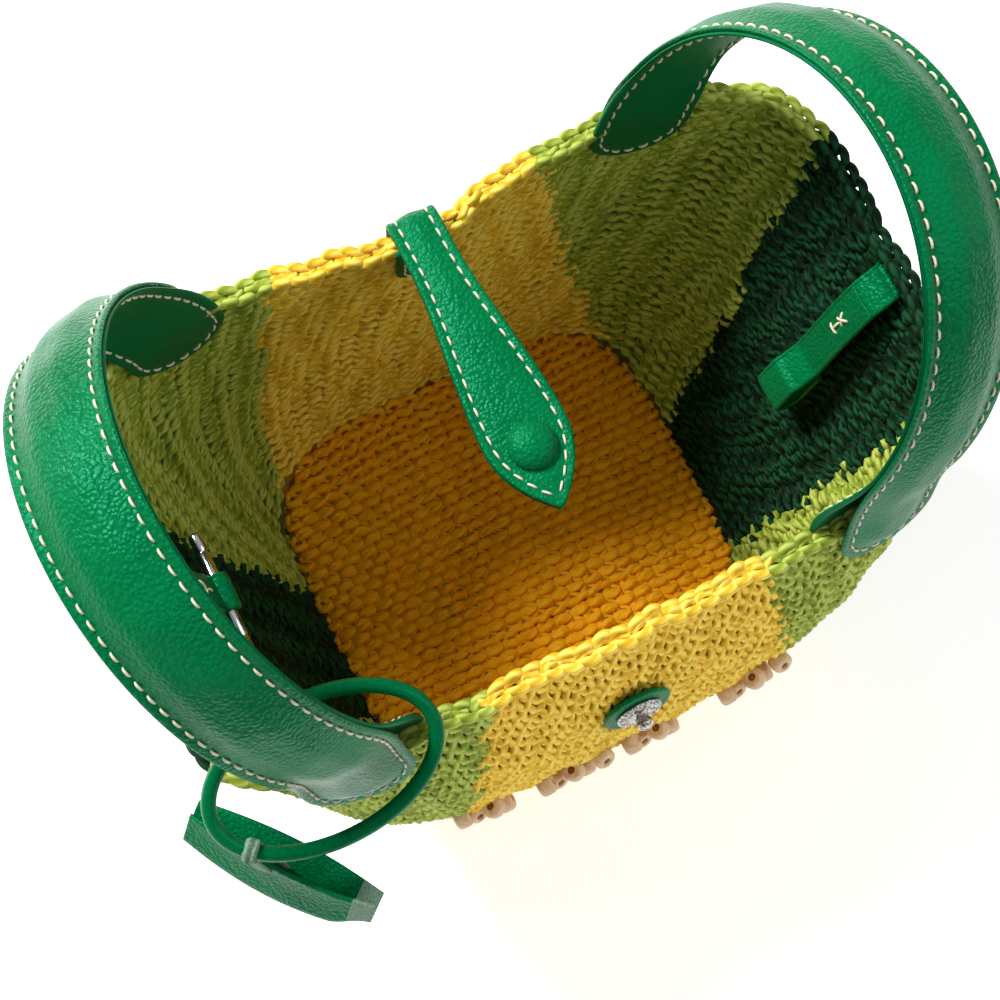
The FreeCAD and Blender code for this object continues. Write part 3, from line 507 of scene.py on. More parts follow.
def add_row(gathers, row, colours, closed=True):
    points, reference, radius = row
    total = len(points)
    rings = sweep_rings(points, reference, radius, YARN_SIDES, closed)
    tones = RANDOM.uniform(0, 1, len(colours))
    for colour, first, length in runs_of(colours):
        last = (first + length) * STITCH_STEPS + 1
        index = np.arange(first * STITCH_STEPS, last if closed else min(last, total)) % total
        quads, uv = tube_quads(len(index), YARN_SIDES)
        uv = uv * np.array([PLY_TURNS / STITCH_STEPS, 1.0])
        tone = np.repeat(tones[(index // STITCH_STEPS) % len(tones)], YARN_SIDES)
        gathers[colour].add(rings[index].reshape(-1, 3), quads, uv, tone)


# Hand crochet isn't even: slow waves push the fabric in and out and its rows up and down.
WAVES = [(int(turns), float(rise), *RANDOM.uniform(0, 2 * math.pi, 2))
         for turns, rise in ((3, 40), (7, 75), (13, 120), (22, 160), (31, 60))]
LUMP, ROW_SWAY = 0.0004, 0.0005
END_REACH, FLAT_ABOVE_TAB, FLAT_FADE, FAR = 0.03, 0.008, 0.01, 9
TAB_X, TAB_DROP, TAB_SLANT = 0.0865, 0.022, math.tan(math.radians(9))
CLOSURE_DROP, TAB_CLEAR = 0.030, 0.024


def waves(part, height, which):
    total = 0
    for turns, rise, first, second in WAVES:
        total = total + np.sin(2 * math.pi * turns * part + rise * height + (first, second)[which])
    return total


def tab_middle(height):
    """Distance of a handle tab's middle from the bag's middle, by height."""
    return TAB_X - TAB_SLANT * (WALL_HEIGHT - np.minimum(height, WALL_HEIGHT))


def swell_at(angle, height):
    """How far the fabric bulges out of its even shape; it lies flat under the leather tabs."""
    x, y, _ = np.moveaxis(wall_point(angle, height), -1, 0)
    at_end = np.abs(y) < END_REACH
    handles = np.where(at_end, FAR, np.abs(np.abs(x) - tab_middle(height)) / TAB_CLEAR)
    closure = np.where(y > 0, np.abs(x) / (0.6 * TAB_CLEAR), FAR)
    cinches = np.where(at_end, np.abs(y) / TAB_CLEAR, FAR)
    beside = np.minimum(np.minimum(handles, closure), cinches)
    high = np.clip((height - WALL_HEIGHT + CLOSURE_DROP + FLAT_ABOVE_TAB) / FLAT_FADE, 0, 1)
    free = 1 - high * np.clip(1.3 - beside, 0, 1)
    return LUMP * waves(angle / (2 * math.pi), height, 1) * free


def wall_surface(height, count, phase):
    """How a row of the wall lies: stitches along, up and out to points of the wall."""
    def surface(along, up, out):
        part = (along + phase) / count
        level = height + up + ROW_SWAY * waves(part, height, 0) * min(1.0, height / 0.02)
        angle = direction_at(part, level)
        basis = wall_basis(angle, level)
        middle = wall_point(angle, level, -WALL_THICK / 2)
        points = middle + basis[2] * (out + swell_at(angle, level))[:, None]
        points[:, 2] = np.maximum(points[:, 2], WALL_YARN)
        return points, basis
    return surface


def rim_braid(gathers):
    """The last course is a braid along the top: one V of two thick strands for each stitch."""
    count = int(round(perimeter(WALL_HEIGHT) / RIM_PITCH))
    colours = panel_of((np.arange(count) + 0.5) / count, WALL_HEIGHT)
    run = np.linspace(0, 1, RIM_STEPS)
    across = RIM_NARROW + (RIM_WIDE - RIM_NARROW) * np.sin(math.pi * (0.04 + 0.72 * run)) ** 1.3
    lift = RIM_LIFT * np.sin(math.pi * run) ** 0.7 - RIM_SINK * (1 - np.sin(math.pi * run))
    for stitch in range(count):
        tone = RANDOM.uniform(0, 1)
        for side in (1, -1):
            skew, size = RANDOM.normal(0, 0.06), RANDOM.normal(1, 0.06)
            part = (stitch + skew + RIM_REACH * run) / count
            angle = direction_at(part, np.full(RIM_STEPS, WALL_HEIGHT))
            level = np.full(RIM_STEPS, WALL_HEIGHT)
            outward = unit(wall_basis(angle, level)[2] * np.array([1.0, 1.0, 0.0]))
            reach = side * across * size + swell_at(angle, level)
            points = wall_point(angle, level, -WALL_THICK / 2) + outward * reach[:, None]
            points[:, 2] += lift * size + RIM_SWAY * waves(part, WALL_HEIGHT, 0)
            radius = RIM_YARN * (1 - 0.25 * np.abs(2 * run - 1) ** 3)
            add_tube(gathers[colours[stitch]], points, np.tile((0.0, 0.0, 1.0), (RIM_STEPS, 1)), radius,
                     RIM_SIDES, tone, side * RIM_TURNS / RIM_STEPS)


def panel_of(part, height):
    """Which coloured panel a stitch belongs to."""
    level = np.full(len(part), height)
    x, y, _ = wall_point(direction_at(part, level), level).T
    share = float(share_of(height))
    yellow = edge_at(YELLOW_EDGE, share)
    dark_back, dark_front = edge_at(DARK_BACK_EDGE, share), edge_at(DARK_FRONT_EDGE, share)
    length = wall_outline(height)[0]
    names = []
    for px, py in zip(x, y):
        end, side = ("back" if py > 0 else "front"), ("right" if px > 0 else "left")
        if abs(px) < yellow and abs(py) > 0.5 * BASE_FRONT:
            names.append(f"{end}_yellow_panel")
        elif -dark_front < py < dark_back and abs(px) > 0.5 * length:
            names.append(f"{side}_dark_panel")
        else:
            names.append(f"{end}_{side}_light_panel")
    return names


def colour_of(name):
    return next(colour for colour in YARNS if colour in name)


PANELS = ["front_yellow_panel", "back_yellow_panel", "left_dark_panel", "right_dark_panel",
          "front_left_light_panel", "front_right_light_panel",
          "back_left_light_panel", "back_right_light_panel"]
SLOTS = {"yellow": "yellow_yarn", "light": "light_green_yarn", "dark": "dark_green_yarn"}


def crochet_wall():
    gathers = {name: Quads() for name in PANELS}
    first, last = WALL_THICK * 0.7, WALL_HEIGHT - TOP_ROW_BELOW
    rows = int(round((last - first) / WALL_ROW))
    for number in range(rows + 1):
        height = first + (last - first) * number / rows
        count = int(round(perimeter(height) / WALL_PITCH))
        phase = 0.5 * number + RANDOM.uniform(-0.1, 0.1)
        row = crochet_row(count, wall_surface(height, count, phase),
                          WALL_RISE_OF_LOOP, WALL_DEPTH_OF_LOOP, WALL_YARN)
        add_row(gathers, row, panel_of((np.arange(count) + 0.5 + phase) / count, height))
    rim_braid(gathers)
    for name, gather in gathers.items():
        colour = colour_of(name)
        made = gather.build(name.replace("panel", "crochet"), YARNS[colour], slot=SLOTS[colour])
        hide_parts(name)


def base_half_width(y):
    """Half the length of the base along X at one Y, measured to the middle of the wall."""
    length, front, back, power = wall_outline(WALL_THICK / 2, -WALL_THICK / 2)
    depth = back if y > 0 else front
    return float(length * (1 - min(1.0, abs(y / depth)) ** power) ** (1 / power))


def crochet_base():
    gather = {"yellow_base": Quads()}
    _, front, back, _ = wall_outline(WALL_THICK / 2, -WALL_THICK / 2)
    rows = int(round((front + back) / BASE_ROW))
    down = np.array((0.0, 0.0, -1.0))
    for number in range(1, rows):
        y = -front + (front + back) * number / rows
        half = base_half_width(y)
        count = max(2, int(round(2 * half / BASE_PITCH)))
        phase = 0.5 * (number % 2)

        def surface(along, up, out, y=y, half=half, count=count, phase=phase):
            x = half - 2 * half * (along + phase - 0.25) / count
            sway = 0.0006 * np.sin(70 * x + 50 * y)
            z = np.maximum(BASE_LEVEL - out + 0.0003 * np.sin(90 * x - 60 * y), BASE_YARN)
            points = np.stack([np.clip(x, -half, half), y + up + sway, z], axis=-1)
            ones = np.ones((len(x), 1))
            return points, (ones * (-1.0, 0.0, 0.0), ones * (0.0, 1.0, 0.0), ones * down)

        row = crochet_row(count, surface, BASE_RISE, BASE_DEPTH, BASE_YARN)
        add_row(gather, row, ["yellow_base"] * count, closed=False)
    made = gather["yellow_base"].build("yellow_base_crochet", YARNS["base"], slot="yellow_yarn")
    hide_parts("yellow_base")


def block(grid_low, grid_high):
    """Points and quads of a closed slab between two grids of the same shape."""
    rows, columns = grid_low.shape[:2]
    points = np.concatenate([grid_low.reshape(-1, 3), grid_high.reshape(-1, 3)])
    index = np.arange(rows * columns).reshape(rows, columns)
    low = np.stack([index[:-1, :-1], index[:-1, 1:], index[1:, 1:], index[1:, :-1]], -1).reshape(-1, 4)
    high = low[:, ::-1] + rows * columns
    edge = np.concatenate([index[0, :-1], index[:-1, -1], index[-1, :0:-1], index[:0:-1, 0]])
    after = np.roll(edge, -1)
    sides = np.stack([after, edge, edge + rows * columns, after + rows * columns], -1)
    return points, np.concatenate([low, high, sides])


# Size and place of the dark painted-shade sheets in the middle of the fabric.
SHADE_SHEET_HALF, SHADE_SHEET_ROWS, SHADE_SHEET_COLUMNS, BASE_SHADE_SHEET_COLUMNS = 0.0004, 36, 45, 97
SHADE_SHEET_LOW, SHADE_SHEET_BELOW_RIM, SHADE_SHEET_SINK = 0.0015, 0.0006, 0.0002


def painted_shade_sheet_of_wall():
    """A dark sheet in the middle of the fabric, seen only through the holes between its loops: painted
    shade standing in for the shade inside the holes.
    """
    def yellow(side, end):
        return lambda level: angle_at_x(side * edge_at(YELLOW_EDGE, share_of(level)), level, end)

    def dark(side, end):
        edge = DARK_BACK_EDGE if end > 0 else DARK_FRONT_EDGE
        return lambda level: angle_at_y(end * edge_at(edge, float(share_of(level))), level, side)

    edges = {
        "front_yellow_panel": (yellow(-1, -1), yellow(1, -1)),
        "back_yellow_panel": (yellow(1, 1), yellow(-1, 1)),
        "right_dark_panel": (dark(1, -1), dark(1, 1)),
        "left_dark_panel": (dark(-1, 1), dark(-1, -1)),
        "front_right_light_panel": (yellow(1, -1), dark(1, -1)),
        "back_right_light_panel": (dark(1, 1), yellow(1, 1)),
        "back_left_light_panel": (yellow(-1, 1), dark(-1, 1)),
        "front_left_light_panel": (dark(-1, -1), yellow(-1, -1)),
    }
    levels = np.linspace(SHADE_SHEET_LOW, WALL_HEIGHT - SHADE_SHEET_BELOW_RIM, SHADE_SHEET_ROWS)
    for name, (first, last) in edges.items():
        faces = {-1: [], 1: []}
        for level in levels:
            start, end = float(first(level)), float(last(level))
            if end < start:
                end += 2 * math.pi
            angles = np.linspace(start, end, SHADE_SHEET_COLUMNS)
            height = np.full(SHADE_SHEET_COLUMNS, level)
            out = wall_basis(angles, height)[2]
            for face in faces:
                reach = swell_at(angles, height) + face * SHADE_SHEET_HALF
                faces[face].append(wall_point(angles, height, -WALL_THICK / 2) + out * reach[:, None])
        points, quads = block(np.array(faces[1]), np.array(faces[-1]))
        colour = colour_of(name)
        piece(name.replace("panel", "painted_shade_sheet"), points, quads, PAINTED_SHADE_SHEETS[colour], slot=SLOTS[colour])


# A dark sheet in the middle of the base: painted shade seen through the holes between its loops.
def painted_shade_sheet_of_base():
    angles = np.linspace(-math.pi, math.pi, BASE_SHADE_SHEET_COLUMNS)
    faces = []
    for side in (-1, 1):
        middle = np.full(BASE_SHADE_SHEET_COLUMNS, WALL_THICK / 2)
        outline = wall_point(angles, middle, -WALL_THICK / 2)
        shares = np.linspace(0.02, 1.0, 12)[:, None, None]
        rings = outline[None] * shares
        rings[..., 2] = BASE_LEVEL - SHADE_SHEET_SINK + side * SHADE_SHEET_HALF
        faces.append(rings)
    points, quads = block(faces[0], faces[1])
    piece("yellow_base_painted_shade_sheet", points, quads, PAINTED_SHADE_SHEETS["yellow"], slot="yellow_yarn")


# ---- leather straps and stitching

def smooth(value):
    value = np.clip(value, 0.0, 1.0)
    return value * value * (3 - 2 * value)


class Strap:
    """A strip of leather along a line of points, with directions across it and out of it."""

    def __init__(self, middle, across):
        self.middle = middle
        tangent = unit(np.gradient(middle, axis=0))
        self.across = unit(across - np.sum(across * tangent, -1, keepdims=True) * tangent)
        self.out = np.cross(self.across, tangent)
        steps = np.linalg.norm(np.diff(middle, axis=0), axis=1)
        self.travelled = np.concatenate([[0], np.cumsum(steps)])
        self.length = self.travelled[-1]

    def at(self, along, across, lift):
        """Points at distances along the strap, across it and out of it."""
        def read(values):
            return np.stack([np.interp(along, self.travelled, values[:, k]) for k in range(3)], -1)
        across, lift = np.asarray(across, float), np.asarray(lift, float)
        out = unit(read(self.out))
        return read(self.middle) + unit(read(self.across)) * across[..., None] + out * lift[..., None], out


EDGE_ROUND = 0.0009
THREAD_RADIUS, THREAD_SKEW, STITCH_RUN = 0.00042, 0.00012, np.linspace(-1, 1, 7)
MARGIN, GROOVE_WIDE, GROOVE_DEEP = 0.0034, 0.0011, 0.0005


def margin_fall(inset):
    """How much lower than its face a leather edge is, by distance from the edge."""
    left = np.clip(1 - inset / EDGE_ROUND, 0, 1)
    return EDGE_ROUND * (1 - np.sqrt(np.clip(1 - left ** 2, 0, 1)))


def column_places(half_width, margin):
    """Distances from the middle of a strap to its mesh's columns, close together at the edges."""
    inset = np.array([0, 0.10, 0.3, 0.6, 1.0, 1.5]) * EDGE_ROUND
    near = margin + GROOVE_WIDE * np.array([-1.0, -0.6, -0.25, 0.0, 0.25, 0.6, 1.0, 1.8])
    rest = np.linspace(margin + 3.2 * GROOVE_WIDE, half_width, 6)
    insets = np.concatenate([inset, near, rest])
    places = half_width - insets
    return np.concatenate([-places, places[-2::-1]])


def strap_piece(name, strap, stations, widths, insets, top, bottom, material, columns, **rest):
    """A closed strip of leather from heights over its line, given at stations and columns."""
    along = np.repeat(stations[:, None], len(columns), 1)
    across = columns[None] / columns.max() * widths[:, None]
    high = top - margin_fall(insets)
    low = bottom + margin_fall(insets)
    upper, _ = strap.at(along, across, high)
    lower, _ = strap.at(along, across, low)
    points, quads = block(lower, upper)
    return piece(name, points, quads, material, **rest)


def stitching(name, lines, body=None, length=0.0035, pitch=0.0050):
    """Running stitches along lines of (points, outward directions); their ends dip into the leather."""
    gather = Quads()
    for points, out in lines:
        steps = np.linalg.norm(np.diff(points, axis=0), axis=1)
        travelled = np.concatenate([[0], np.cumsum(steps)])
        count = max(1, int(travelled[-1] / pitch))
        for i in range(count):
            start = (travelled[-1] - count * pitch + pitch - length) / 2 + i * pitch
            places = start + length * np.linspace(0, 1, 7)
            line = np.stack([np.interp(places, travelled, points[:, k]) for k in range(3)], -1)
            lift = unit(np.stack([np.interp(places, travelled, out[:, k]) for k in range(3)], -1))
            rise = THREAD_RADIUS * (1.0 - 2.4 * np.abs(STITCH_RUN) ** 4)
            width = THREAD_RADIUS * (1 - 0.45 * np.abs(STITCH_RUN) ** 3)
            beside = np.cross(lift, unit(np.gradient(line, axis=0)))
            skew = beside * (THREAD_SKEW * STITCH_RUN)[:, None]
            add_tube(gather, line + lift * rise[:, None] + skew, lift, width, 6)
    return gather.build(name, THREAD, body=body, slot="pebbled_leather")


# ---- handles

HANDLE_HALF = 0.017
HANDLE_SPAN, HANDLE_RISE = 0.073, 0.079
HANDLE_X, HANDLE_Y, BEND_HEIGHT = 0.088, 0.002, 0.168
HANDLE_LEAN = math.radians(25)
HANDLE_LAYER = 0.0012                # from the strap's middle to where its two leathers meet
TAB_LEATHER = 0.0022
FORK_LOW, FORK_HIGH = WALL_HEIGHT, 0.178
CROWN, TAB_CROWN = 0.0030, 0.0026
TAB_FACE, ARCH_FACE = 0.0007, 0.0004     # the outer leather's face at its edge, over the strap's middle
TAB_BACK, LINING_TAB_BACK = 0.0010, 0.0009
LINING_FACE, LINING_CROWN = 0.0026, 0.0004
STRAP_STATIONS, LOOP_STATIONS = 110, 260


def handle_line(side, tab_offset):
    """The line of one leather of a handle: up one tab, over the arch and down the other tab."""
    slant = side * math.sin(HANDLE_LEAN)
    levels = np.linspace(WALL_HEIGHT - TAB_DROP, FORK_LOW, 14)
    share = np.linspace(0, 1, 16)[1:, None]
    step = np.array((FORK_HIGH - 0.001, FORK_HIGH))
    legs = {}
    for end in (-1, 1):
        angle = angle_at_x(side * tab_middle(levels), levels, end)
        tab = wall_point(angle, levels, tab_offset)
        tab_along, tab_up, _ = wall_basis(angle, levels)
        tab_across = unit(-end * (tab_along + end * side * TAB_SLANT * tab_up))
        rise = (step - BEND_HEIGHT) / math.cos(HANDLE_LEAN)
        over = np.sqrt(1 - (rise / HANDLE_RISE) ** 2)
        leg = np.stack([side * HANDLE_X + slant * rise, HANDLE_Y + end * HANDLE_SPAN * over, step], -1)
        leg_across = np.array((math.cos(HANDLE_LEAN), 0.0, -slant))
        span = np.linalg.norm(leg[1] - tab[-1])
        leave, arrive = unit(tab[-1] - tab[-2]) * span, unit(leg[1] - leg[0]) * span
        fork = (tab[-1] * (1 + 2 * share) * (1 - share) ** 2 + leg[1] * share ** 2 * (3 - 2 * share)
                + leave * share * (1 - share) ** 2 - arrive * share ** 2 * (1 - share))
        fork_across = tab_across[-1] * (1 - smooth(share)) + leg_across * smooth(share)
        legs[end] = (np.concatenate([tab, fork]), unit(np.concatenate([tab_across, fork_across])))
    start = math.asin((FORK_HIGH - BEND_HEIGHT) / math.cos(HANDLE_LEAN) / HANDLE_RISE)
    turn = np.linspace(math.pi - start, start, 72)[1:-1]
    rise = HANDLE_RISE * np.sin(turn)
    arch = np.stack([side * HANDLE_X + slant * rise, HANDLE_Y + HANDLE_SPAN * np.cos(turn),
                     BEND_HEIGHT + math.cos(HANDLE_LEAN) * rise], -1)
    arch_across = np.tile((math.cos(HANDLE_LEAN), 0.0, -slant), (len(turn), 1))
    middle = np.concatenate([legs[-1][0], arch, legs[1][0][::-1]])
    across = np.concatenate([legs[-1][1], arch_across, legs[1][1][::-1]])
    return Strap(middle, across)


def rounded_ends(strap, half, columns):
    """Stations, half widths and distances to the edge of a strap whose two ends are half rounds."""
    end = half * (1 - np.cos(np.linspace(0.06, 1, 16) * math.pi / 2))
    stations = np.concatenate([end, np.linspace(half, strap.length - half, STRAP_STATIONS)[1:-1],
                               strap.length - end[::-1]])
    to_end = np.minimum(stations, strap.length - stations)
    inside = np.clip(half - to_end, 0, half)
    widths = np.sqrt(np.clip(half ** 2 - inside ** 2, 0, None))
    across = columns[None] / columns.max() * widths[:, None]
    insets = half - np.hypot(inside[:, None], across)
    return stations, np.maximum(widths, 0.0004), np.clip(insets, 0, None), to_end


def inset_loop(strap, half, inset):
    """Places (along, across) of a stitch line that follows the strap's edge all the way round."""
    radius = half - inset
    turn = np.linspace(math.pi / 2, -math.pi / 2, 24)
    straight = np.linspace(half, strap.length - half, LOOP_STATIONS)
    along = np.concatenate([straight, strap.length - half + radius * np.cos(turn),
                            straight[::-1], half - radius * np.cos(turn)])
    across = np.concatenate([np.full(LOOP_STATIONS, radius), radius * np.sin(turn),
                             np.full(LOOP_STATIONS, -radius), -radius * np.sin(turn)])
    return along, across


def handle(side_name, side):
    """A padded handle: crowned outer leather, lining leather, and cream stitching on both."""
    body = f"{side_name}_handle"
    columns = column_places(HANDLE_HALF, MARGIN)
    for layer in ("leather", "lining"):
        outer = layer == "leather"
        face = "outer" if outer else "inner"
        offset = TAB_LEATHER / 2 if outer else -WALL_THICK - TAB_LEATHER / 2
        strap = handle_line(side, offset)
        stations, widths, insets, to_end = rounded_ends(strap, HANDLE_HALF, columns)
        upward = smooth((to_end - TAB_DROP) / (FORK_HIGH - FORK_LOW))[:, None]
        crown = smooth((insets - MARGIN - 0.4 * GROOVE_WIDE) / 0.0095)
        groove = GROOVE_DEEP * np.exp(-((insets - MARGIN) / GROOVE_WIDE) ** 2)
        wrinkle = 0.00025 * np.sin(stations * 310)[:, None] * np.sin(columns * 160 + 1)[None] * crown
        if outer:
            top = (TAB_FACE + TAB_CROWN * crown) * (1 - upward) + (ARCH_FACE + CROWN * crown) * upward
            bottom = -TAB_BACK * (1 - upward) - HANDLE_LAYER * upward + 0 * insets
            colour, top = PEBBLED, top - groove + wrinkle
        else:
            top = TAB_BACK * (1 - upward) - (HANDLE_LAYER + 0.0001) * upward + 0 * insets
            bottom = -LINING_TAB_BACK * (1 - upward) + 0.6 * groove
            bottom = bottom - (LINING_FACE + LINING_CROWN * crown) * upward
            colour = LINING
        made = strap_piece(f"{body}_{face}_leather", strap, stations, widths, insets, top, bottom,
                           colour, columns, slot="pebbled_leather" if outer else "lining_leather",
                           body=None)
        along, across = inset_loop(strap, HANDLE_HALF, MARGIN)
        rise = smooth((np.minimum(along, strap.length - along) - TAB_DROP) / (FORK_HIGH - FORK_LOW))
        if outer:
            lift = (TAB_FACE - GROOVE_DEEP) * (1 - rise) + (ARCH_FACE - GROOVE_DEEP + 0.0001) * rise
        else:
            depth = 0.6 * GROOVE_DEEP
            lift = -(LINING_TAB_BACK - depth) * (1 - rise) - (LINING_FACE - depth) * rise
        points, out = strap.at(along, across, lift)
        threads = stitching(f"{body}_{face}_stitching", [(points, out if outer else -out)])
        for part in (made, threads):
            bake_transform(part)
        tabs = [f"{side_name}_handle_{end}_{face}_tab" for end in ("front", "back")]
        if outer:
            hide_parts(f"{body}_leather", f"{body}_filler", *tabs)
        else:
            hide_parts(f"{body}_lining", *tabs)


# ---- closing strap and its snap

STRAP_Y, STRAP_Z = 0.069, 0.157
STRAP_LONG, SNAP_REACH = 0.100, 0.079
NECK_HALF, HEAD_HALF = 0.008, 0.0135
HEAD_FROM, HEAD_AT = 0.012, 0.074
STRAP_MARGIN = 0.0029
FOLD_RADIUS = 0.0048
NECK_START = NECK_HALF * (1 - np.cos(np.linspace(0.06, 1, 10) * math.pi / 2))
BACK_RIM_Y = float(wall_point(np.array(math.pi / 2), np.array(WALL_HEIGHT))[1])


def closing_strap():
    """The strap with its sewn tab, the fold over the rim and the long pointed head."""
    levels = np.linspace(WALL_HEIGHT - CLOSURE_DROP, WALL_HEIGHT + 0.0015, 14)
    angle = np.full(len(levels), math.pi / 2)
    tab = wall_point(angle, np.minimum(levels, WALL_HEIGHT), TAB_LEATHER / 2 + 0.0002)
    tab[:, 2] = levels
    centre_z = STRAP_Z + 0.0006 - FOLD_RADIUS + 0.0012
    turn = np.linspace(0, math.pi / 2, 12)[1:]
    fold = np.stack([0 * turn, tab[-1, 1] - FOLD_RADIUS + FOLD_RADIUS * np.cos(turn),
                     centre_z + FOLD_RADIUS * np.sin(turn)], -1)
    reach = np.linspace(fold[-1, 1] - 0.002, STRAP_Y - STRAP_LONG, 60)
    share = (fold[-1, 1] - reach) / (fold[-1, 1] - reach[-1])
    crown = 0.0016 * np.sin(math.pi * share) - 0.0010 * share
    flat = np.stack([0 * reach, reach, fold[-1, 2] + crown], -1)
    middle = np.concatenate([tab, fold, flat])
    strap = Strap(middle, np.tile((-1.0, 0.0, 0.0), (len(middle), 1)))
    tip = strap.length
    neck_from = tip - STRAP_LONG

    def half_width(along):
        out = np.maximum(along - neck_from, 0)
        wide = NECK_HALF + (HEAD_HALF - NECK_HALF) * smooth((out - HEAD_FROM) / (HEAD_AT - HEAD_FROM))
        point = np.clip((out - HEAD_AT) / (STRAP_LONG - HEAD_AT), 0, 1)
        low = np.clip(1 - along / NECK_HALF, 0, 1)
        return wide * (1 - point ** 2.1) * np.sqrt(1 - low ** 2)

    stations = np.concatenate([NECK_START, np.linspace(NECK_HALF, neck_from + HEAD_AT, 80)[1:],
                               tip - (STRAP_LONG - HEAD_AT) * np.cos(np.linspace(0, 0.985, 26)
                                                                    * math.pi / 2)[1:]])
    widths = half_width(stations)
    slope = np.gradient(widths, stations)
    columns = column_places(HEAD_HALF, STRAP_MARGIN)
    across = columns[None] / columns.max() * widths[:, None]
    insets = (widths[:, None] - np.abs(across)) / np.sqrt(1 + slope ** 2)[:, None]
    crown = smooth((insets - STRAP_MARGIN) / 0.006)
    groove = 0.0004 * np.exp(-((insets - STRAP_MARGIN) / 0.0009) ** 2)
    snap_along = neck_from + SNAP_REACH
    ring = np.hypot(stations[:, None] - snap_along, across)
    dimple = 0.0006 * np.exp(-((ring - 0.0082) / 0.0009) ** 2)
    top = 0.0009 + 0.0006 * crown - groove - dimple
    bottom = -0.0010 + 0 * insets
    leather = strap_piece("closing_strap_leather", strap, stations, widths, insets, top, bottom,
                          PEBBLED, columns, body=None, slot="pebbled_leather")
    past_rim = stations > neck_from - 0.004
    lining = strap_piece("closing_strap_lining", strap, stations[past_rim], widths[past_rim],
                         insets[past_rim], bottom[past_rim] - 0.0001, bottom[past_rim] - 0.0013,
                         LINING, columns, body=None, slot="lining_leather")
    fine = np.linspace(STRAP_MARGIN * 1.2, tip - 0.0015, 400)
    slope = np.gradient(half_width(fine), fine)
    inner = half_width(fine) - STRAP_MARGIN * np.sqrt(1 + slope ** 2)
    keep = inner > 0.0004
    lines, under = [], []
    for side in (1, -1):
        points, out = strap.at(fine[keep], side * inner[keep], np.full(keep.sum(), 0.00055))
        lines.append((points, out))
        back = keep & (fine > neck_from)
        points, out = strap.at(fine[back], side * inner[back], np.full(back.sum(), -0.0022))
        under.append((points, -out))
    threads = stitching("closing_strap_stitching", lines, length=0.0034, pitch=0.0047)
    threads_under = stitching("closing_strap_under_stitching", under, length=0.0034, pitch=0.0047)
    for part in (leather, lining, threads, threads_under):
        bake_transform(part)
    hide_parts("closure_strap_leather", "closure_outer_tab")
    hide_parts("closure_strap_lining")
    seat, out = strap.at(np.array([snap_along]), np.array([0.0]), np.array([0.0]))
    return seat[0], out[0]


def lathe(name, profile, material, place, steps=48, ripple=None, **rest):
    """A closed round piece from (radius, height) pairs going up; ripple changes its radius by angle."""
    turn = 2 * math.pi * np.arange(steps) / steps
    profile = np.array(profile)
    radius = np.maximum(profile[:, 0], 0.00002)[:, None] * np.ones(steps)
    height = profile[:, 1][:, None] * np.ones(steps)
    if ripple:
        radius, height = ripple(radius, height, turn)
    points = np.stack([radius * np.cos(turn), radius * np.sin(turn), height], -1).reshape(-1, 3)
    quads, _ = tube_quads(len(profile), steps)
    points = points @ np.array(place.to_3x3()).T + np.array(place.translation)
    return piece(name, points, quads[:, ::-1], material, **rest)


def arc(centre, radius, start, end, count):
    turn = np.radians(np.linspace(start, end, count))
    return [(centre[0] + radius * math.cos(t), centre[1] + radius * math.sin(t)) for t in turn]


def frame_at(place, out, ahead=(1, 0, 0)):
    """A matrix whose Z is out and whose X is as near ahead as it can be."""
    up = Vector(out).normalized()
    side = (Vector(ahead) - Vector(ahead).dot(up) * up).normalized()
    return Matrix.Translation(Vector(place)) @ Matrix((side, up.cross(side), up)).transposed().to_4x4()


CAP_RADIUS, CAP_RISE = 0.0075, 0.0040


def strap_snap(seat, out):
    """The covered cap on the strap's head and the sprung socket under it."""
    low = 0.0009
    dome = [(CAP_RADIUS * math.cos(t), low + 0.0008 + CAP_RISE * math.sin(t) ** 1.15)
            for t in np.linspace(0.0, math.pi / 2, 20)]
    profile = [(0, low), (CAP_RADIUS - 0.0006, low), (CAP_RADIUS - 0.0001, low + 0.0003), *dome]
    place = frame_at(seat, out)
    made = lathe("snap_cap_leather", profile, PEBBLED, place, body="closure_strap", slot="pebbled_leather")
    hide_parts("snap_cap")
    top = -0.0023
    profile = [(0.0023, top), (0.0057, top), (0.0060, top - 0.0003), (0.0060, top - 0.0008),
               (0.0052, top - 0.0010), *arc((0.0042, top - 0.0022), 0.0010, 60, -90, 8),
               *arc((0.0032, top - 0.0025), 0.0005, -90, -200, 6), (0.0023, top - 0.0008)]
    made = lathe("snap_socket_metal", profile + [profile[0]], ANTIQUE, place, body="closure_strap",
                 slot="antique_metal")
    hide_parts("snap_socket")


